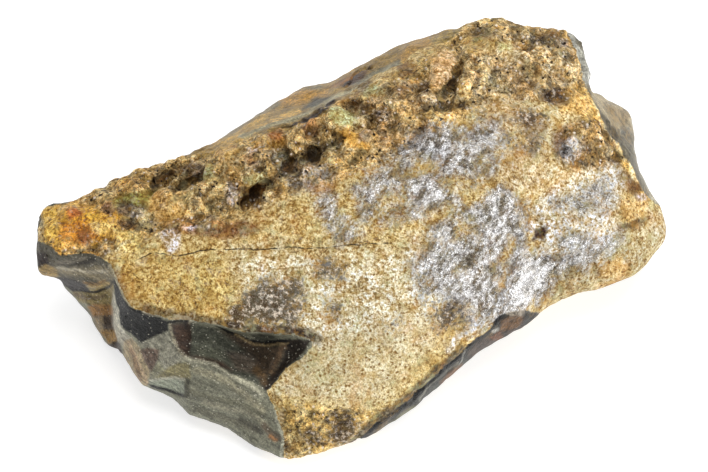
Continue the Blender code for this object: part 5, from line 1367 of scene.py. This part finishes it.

    # The ridge: crumbs of many browns; painted shade in dark threads and dots and where it has sunk;
    # painted glints.
    skin = blend(times(rough_part, COVER["crumb"]), skin, shaded(tinted(crumb, RIDGE_TINTS), grains))
    clods = eased(tree, noise("clod", 4.0, harsh=0.7), 0.36, 0.64, 0.50, 1.50)
    skin = blend(rough_part, skin, shaded(skin, clods))
    fold = sum_of(tree, "ABSOLUTE", minus(noise("thread", 4.0, harsh=0.62), 0.5))
    thread = times(eased(tree, fold, 0.004, 0.022, 1.0, 0.0), eased(tree, speck, 0.35, 0.6, 0.3, 1.0))
    skin = blend(times(thread, rough_part, COVER["thread"]), skin, "sunk")
    from_glint, glint_numbers = cells("glint")
    glint = times(eased(tree, from_glint, 0.2, 0.42, 1.0, 0.0), eased(tree, glint_numbers[0], 0.80, 0.90))
    skin = blend(times(glint, rough_part, COVER["glint"]), skin, "glint")
    from_dot, dot_numbers = cells("dot")
    dot = times(eased(tree, plus(from_dot, times(centred, 1.4)), 0.14, 0.36, 1.0, 0.0),
                eased(tree, dot_numbers[2], 0.35, 0.85))
    skin = blend(times(dot, rough_part), skin, "sunk")
    skin = blend(times(rough_part, eased(tree, lifted, -0.20, -0.05, COVER["sunk"], 0.0)), skin, "sunk")
    # Painted light and shade: lighter where the ridge is lifted, darker where it is sunk.
    skin = shaded(skin, eased(tree, times(lifted, rough_part), -0.1, 0.14, 0.92, 1.45))
    skin = shaded(skin, eased(tree, rough_part, 0.0, 1.0, 1.0, 1.36))
    # Painted shade in the cut creases.
    shade_in_cut = eased(tree, plus(marked("cut"), times(wander, 1.5)), 0.02, 0.22, 0.0, COVER["cut"])
    skin = blend(shade_in_cut, skin, "sunk")

    # Polished skin: a silvery film with the dark ground between its specks, worn through where it is thin.
    # Its pale specks are painted reflection; the film is also glossy and partly metal.
    thick = times(sum_of(tree, "MAXIMUM", minus(marked("polished"), 1.0), 0.0), 0.3)
    streak = noise("streak", 6.0, (0.5, 1.0, 1.0), 0.72, streaked)
    unworn = eased(tree, marked("polished"), 1.05, 1.3, 0.0, COVER["thick film"])
    film = sum_of(tree, "MAXIMUM", eased(tree, plus(streak, thick), 0.40, 0.60), unworn)
    silver = shaded(blend(film, "polished dark", "pale painted reflection"), clouds, grains)
    skin = blend(times(polished_part, COVER["film"]), skin, silver)
    worn_through = eased(tree, noise("worn spot", 5.0, harsh=0.78), 0.54, 0.60, 0.0, COVER["worn spot"])
    thin_film = eased(tree, marked("polished"), 1.0, 1.15, 1.0, 0.0)
    skin = blend(times(polished_part, thin_film, worn_through), skin, "stained dark")

    # Stained skin: dark, with pale specks. The crack is a dark thread that breaks off here and there.
    stain = eased(tree, noise("stain", 4.0, harsh=0.75), 0.50, 0.63)
    stains = shaded(blend(stain, "stained dark", "stained pale"), grains)
    skin = blend(times(stained_part, COVER["stain"]), skin, stains)
    off_crack = sum_of(tree, "ABSOLUTE", plus(marked("crack_aside"), times(wander, 0.3)))
    crack = eased(tree, off_crack, CRACK_HALF * 0.6, CRACK_HALF * 1.6, COVER["crack"], 0.0)
    open_crack = eased(tree, noise("crack bridge", 3.0), 0.38, 0.52, 0.15, 1.0)
    skin = blend(times(crack, open_crack), skin, "crack")

    # Enamel: grey, with lengthwise streaks and worn spots.
    streaks = eased(tree, noise("enamel streak", 5.0, (1.0, 1.0, 0.2), 0.7), 0.34, 0.66, 0.6, 1.28)
    enamel_specks = eased(tree, speck, *MOST, 0.62, 1.32)
    enamel_part_colour = shaded(marked("enamel_colour", "Color"), streaks, enamel_specks, grains)
    worn = eased(tree, noise("enamel wear", 4.0), 0.56, 0.66, 0.0, COVER["enamel wear"])
    worn_spots = times(worn, eased(tree, speck, 0.35, 0.65))
    enamel_part_colour = blend(worn_spots, enamel_part_colour, "worn enamel")

    # Break: split along the stone, with dark specks and, in crowds, a few crystal faces painted bright as
    # glints.
    split = noise("split", 5.0, (0.12, 1.0, 1.0), 0.68, leaned(SPLIT_LEAN))
    splits = eased(tree, split, 0.32, 0.68, 0.58, 1.36)
    break_specks = eased(tree, speck, *MOST, 0.76, 1.24)
    break_colour = shaded(marked("facet_colour", "Color"), splits, break_specks, grains)
    from_crystal, crystal_numbers = cells("crystal")
    crowd = times(minus(noise("crystal crowd", 3.0), 0.5), 0.9)
    crystal_glints = times(eased(tree, plus(crystal_numbers[1], crowd), 0.78, 0.98, 0.0, COVER["crystal"]),
                     eased(tree, from_crystal, 0.15, 0.42, 1.0, 0.0))
    break_colour = blend(crystal_glints, break_colour, "crystal")

    whole_colour = blend(enamel_part, skin, enamel_part_colour)
    tree.links.new(blend(broken_part, whole_colour, break_colour), shader.inputs["Base Color"])
    shine = times(polished_part, minus(1.0, plus(broken_part, enamel_part)))
    tree.links.new(eased(tree, shine, 0.0, 1.0, 0.0, FILM_METALLIC), shader.inputs["Metallic"])
    dull = eased(tree, polished_part, 0.0, 1.0, ROUGHNESS["skin"], ROUGHNESS["polished"])
    dull = toward(dull, ROUGHNESS["enamel"], enamel_part)
    dull = toward(dull, ROUGHNESS["break"], broken_part)
    tree.links.new(plus(dull, eased(tree, grain, 0.2, 0.8, -0.08, 0.08)), shader.inputs["Roughness"])

    dents = times(marked("beaten"), noise("dent", 4.0, harsh=0.65), RELIEF["dent"])
    crumbs = times(rough_part, crumb, RELIEF["crumb"])
    silver_streaks = times(polished_part, streak, RELIEF["streak"])
    fine = plus(times(speck, RELIEF["speck"]), times(grain, RELIEF["grain"]), times(pored, RELIEF["pore"]),
                crumbs, silver_streaks, dents)
    bump = node(tree, "ShaderNodeBump", {"Height": fine, "Distance": RELIEF_HEIGHT * MM, "Strength": 1.0})
    tree.links.new(bump.outputs[0], shader.inputs["Normal"])
    return material


dentine = dentine_material()
weathering = stone.modifiers.new("weathering", "NODES")
weathering.node_group = weathering_tree()
set_sizes(weathering, WEATHERING)
cooked(stone)
for face in stone.data.polygons:
    face.use_smooth = True
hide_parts("tooth")
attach(stone, "root")

# The crumbs
# Along the ridge the skin has weathered to crumbs, half sunk in it, each with its own tint. Smaller and
# paler crumbs are chips of crystal that stayed on the break.
RIDGE_CRUMBS = {"To a square millimetre": 3.0, "Smallest": 0.07, "Largest": 0.22}
BREAK_CHIPS = {"To a square millimetre": 5.0, "Smallest": 0.03, "Largest": 0.08}
GRAINS = [
    # name, sizes, the number that says where they lie, above what it has to be, first seed
    ("ridge_crumbs", RIDGE_CRUMBS, "crumbed", 0.5, 11),
    ("break_chips", BREAK_CHIPS, "chipped", 0.9, 31),
]
# The shapes between which the grains vary, and the turns that they may have, in radians.
FLATTEST = (0.8, 0.6, 0.4)
FULLEST = (1.3, 1.0, 0.8)
ANY_WAY_ROUND = (6.3, 6.3, 6.3)


def scatter_tree(name, sizes_wanted, where, above, seed):
    """A tree that sinks crumbs in the surface wherever one of its attributes is above a value."""
    tree = bpy.data.node_groups.new(name, "GeometryNodeTree")
    sizes = sheet_of(tree, sizes_wanted)

    def by_chance(first_seed, low, high):
        """A number of its own for each crumb."""
        return node(tree, "FunctionNodeRandomValue", {2: low, 3: high, "Seed": first_seed}).outputs[1]

    def by_chance_each_way(first_seed, low, high):
        """Three numbers of its own for each crumb."""
        inputs = {0: low, 1: high, "Seed": first_seed}
        return node(tree, "FunctionNodeRandomValue", inputs, data_type="FLOAT_VECTOR").outputs[0]

    there = node(tree, "GeometryNodeInputNamedAttribute", {"Name": where}, data_type="FLOAT").outputs[0]
    to_square_metre = sum_of(tree, "MULTIPLY", sizes["To a square millimetre"], 1.0 / MM ** 2)
    density = sum_of(tree, "MULTIPLY", sum_of(tree, "GREATER_THAN", there, above), to_square_metre)
    spread = node(tree, "GeometryNodeDistributePointsOnFaces",
                  {"Mesh": sizes["Geometry"], "Density": density, "Seed": seed}, distribute_method="RANDOM")

    # Each crumb is a ball pushed out of round, of its own size, shape and turn. Small ones are the most.
    ball = node(tree, "GeometryNodeMeshIcoSphere", {"Radius": 0.5, "Subdivisions": 2})
    place = node(tree, "GeometryNodeInputPosition").outputs[0]
    knobs = node(tree, "ShaderNodeTexNoise", {"Vector": place, "Scale": 2.2, "Detail": 2.0}).outputs[0]
    knob = vector_of(tree, "SCALE", {0: place, "Scale": sum_of(tree, "SUBTRACT", knobs, 0.5)})
    rock = node(tree, "GeometryNodeSetPosition", {"Geometry": ball.outputs["Mesh"], "Offset": knob})
    size = sum_of(tree, "POWER", by_chance(seed + 1, 0.0, 1.0), 2.0)
    reach = sum_of(tree, "SUBTRACT", sizes["Largest"], sizes["Smallest"])
    across = sum_of(tree, "ADD", sum_of(tree, "MULTIPLY", size, reach), sizes["Smallest"])
    shape = by_chance_each_way(seed + 2, FLATTEST, FULLEST)
    scale = vector_of(tree, "SCALE", {0: shape, "Scale": sum_of(tree, "MULTIPLY", across, MM)})
    turn = by_chance_each_way(seed + 3, (0.0, 0.0, 0.0), ANY_WAY_ROUND)
    placed = node(tree, "GeometryNodeInstanceOnPoints",
                  {"Points": spread.outputs["Points"], "Instance": rock.outputs[0],
                   "Rotation": turn, "Scale": scale}).outputs[0]
    close_sheet(tree, kept_number(tree, placed, "lump_pick", by_chance(seed + 4, 0.0, 1.0), "INSTANCE"))
    return tree


for name, sizes, where, above, seed in GRAINS:
    crumbs = bpy.data.objects.new(name, stone.data.copy())
    bpy.context.scene.collection.objects.link(crumbs)
    scattered = crumbs.modifiers.new("scattered", "NODES")
    scattered.node_group = scatter_tree(name, sizes, where, above, seed)
    set_sizes(scattered, sizes)
    cooked(crumbs)
    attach(crumbs, "root")

# The studio
# A white table that runs out of sight, a pale room, and three soft lights.
TABLE_HALF = 1.5
TABLE_CODE = "cfcfcf"
TABLE_ROUGHNESS = 0.9
TABLE_GLOW = 0.68
ROOM_LIGHT = 0.40
LIGHTS = [
    # name, where it hangs, how wide, how many times as bright as the room's white
    ("top_light", (0.05, -0.04, 0.50), 0.26, 5.0),
    ("right_light", (0.43, -0.17, 0.18), 0.24, 8.0),
    ("back_light", (-0.20, 0.36, 0.30), 0.20, 3.0),
]
LENS = 250.17
PICTURE_WIDTH = 36.0
NEAREST_SEEN = 0.01

board = bpy.data.meshes.new("table")
corners = [(x * TABLE_HALF, y * TABLE_HALF, 0.0) for x, y in ((-1, -1), (1, -1), (1, 1), (-1, 1))]
board.from_pydata(corners, [], [(0, 1, 2, 3)])
table = bpy.data.objects.new("table", board)
bpy.context.scene.collection.objects.link(table)
white = bpy.data.materials.new("white_board")
board_shader = bare_surface(white)[1]
board_shader.inputs["Base Color"].default_value = (*colour(TABLE_CODE), 1.0)
board_shader.inputs["Roughness"].default_value = TABLE_ROUGHNESS
board_shader.inputs["Emission Color"].default_value = (1.0, 1.0, 1.0, 1.0)
board_shader.inputs["Emission Strength"].default_value = TABLE_GLOW
board.materials.append(white)

room = bpy.data.worlds.new("room")
room.use_nodes = True
room.node_tree.nodes["Background"].inputs["Color"].default_value = (1.0, 1.0, 1.0, 1.0)
room.node_tree.nodes["Background"].inputs["Strength"].default_value = ROOM_LIGHT
bpy.context.scene.world = room
bpy.context.scene.view_settings.view_transform = "Standard"

middle = Vector(AIM * MM)
for name, where, wide, bright in LIGHTS:
    lamp = bpy.data.lights.new(name, "AREA")
    lamp.shape = "SQUARE"
    lamp.size = wide
    lamp.energy = math.pi * wide ** 2 * bright
    light = bpy.data.objects.new(name, lamp)
    light.location = where
    light.rotation_euler = (middle - Vector(where)).to_track_quat("-Z", "Y").to_euler()
    bpy.context.scene.collection.objects.link(light)

eye = bpy.data.cameras.new("eye")
eye.lens = LENS
eye.sensor_width = PICTURE_WIDTH
eye.clip_start = NEAREST_SEEN
camera = bpy.data.objects.new("eye", eye)
camera.location = middle + LEAN @ Vector((0.0, 0.0, EYE_DISTANCE * MM))
camera.rotation_euler = (middle - camera.location).to_track_quat("-Z", "Y").to_euler()
bpy.context.scene.collection.objects.link(camera)
bpy.context.scene.camera = camera
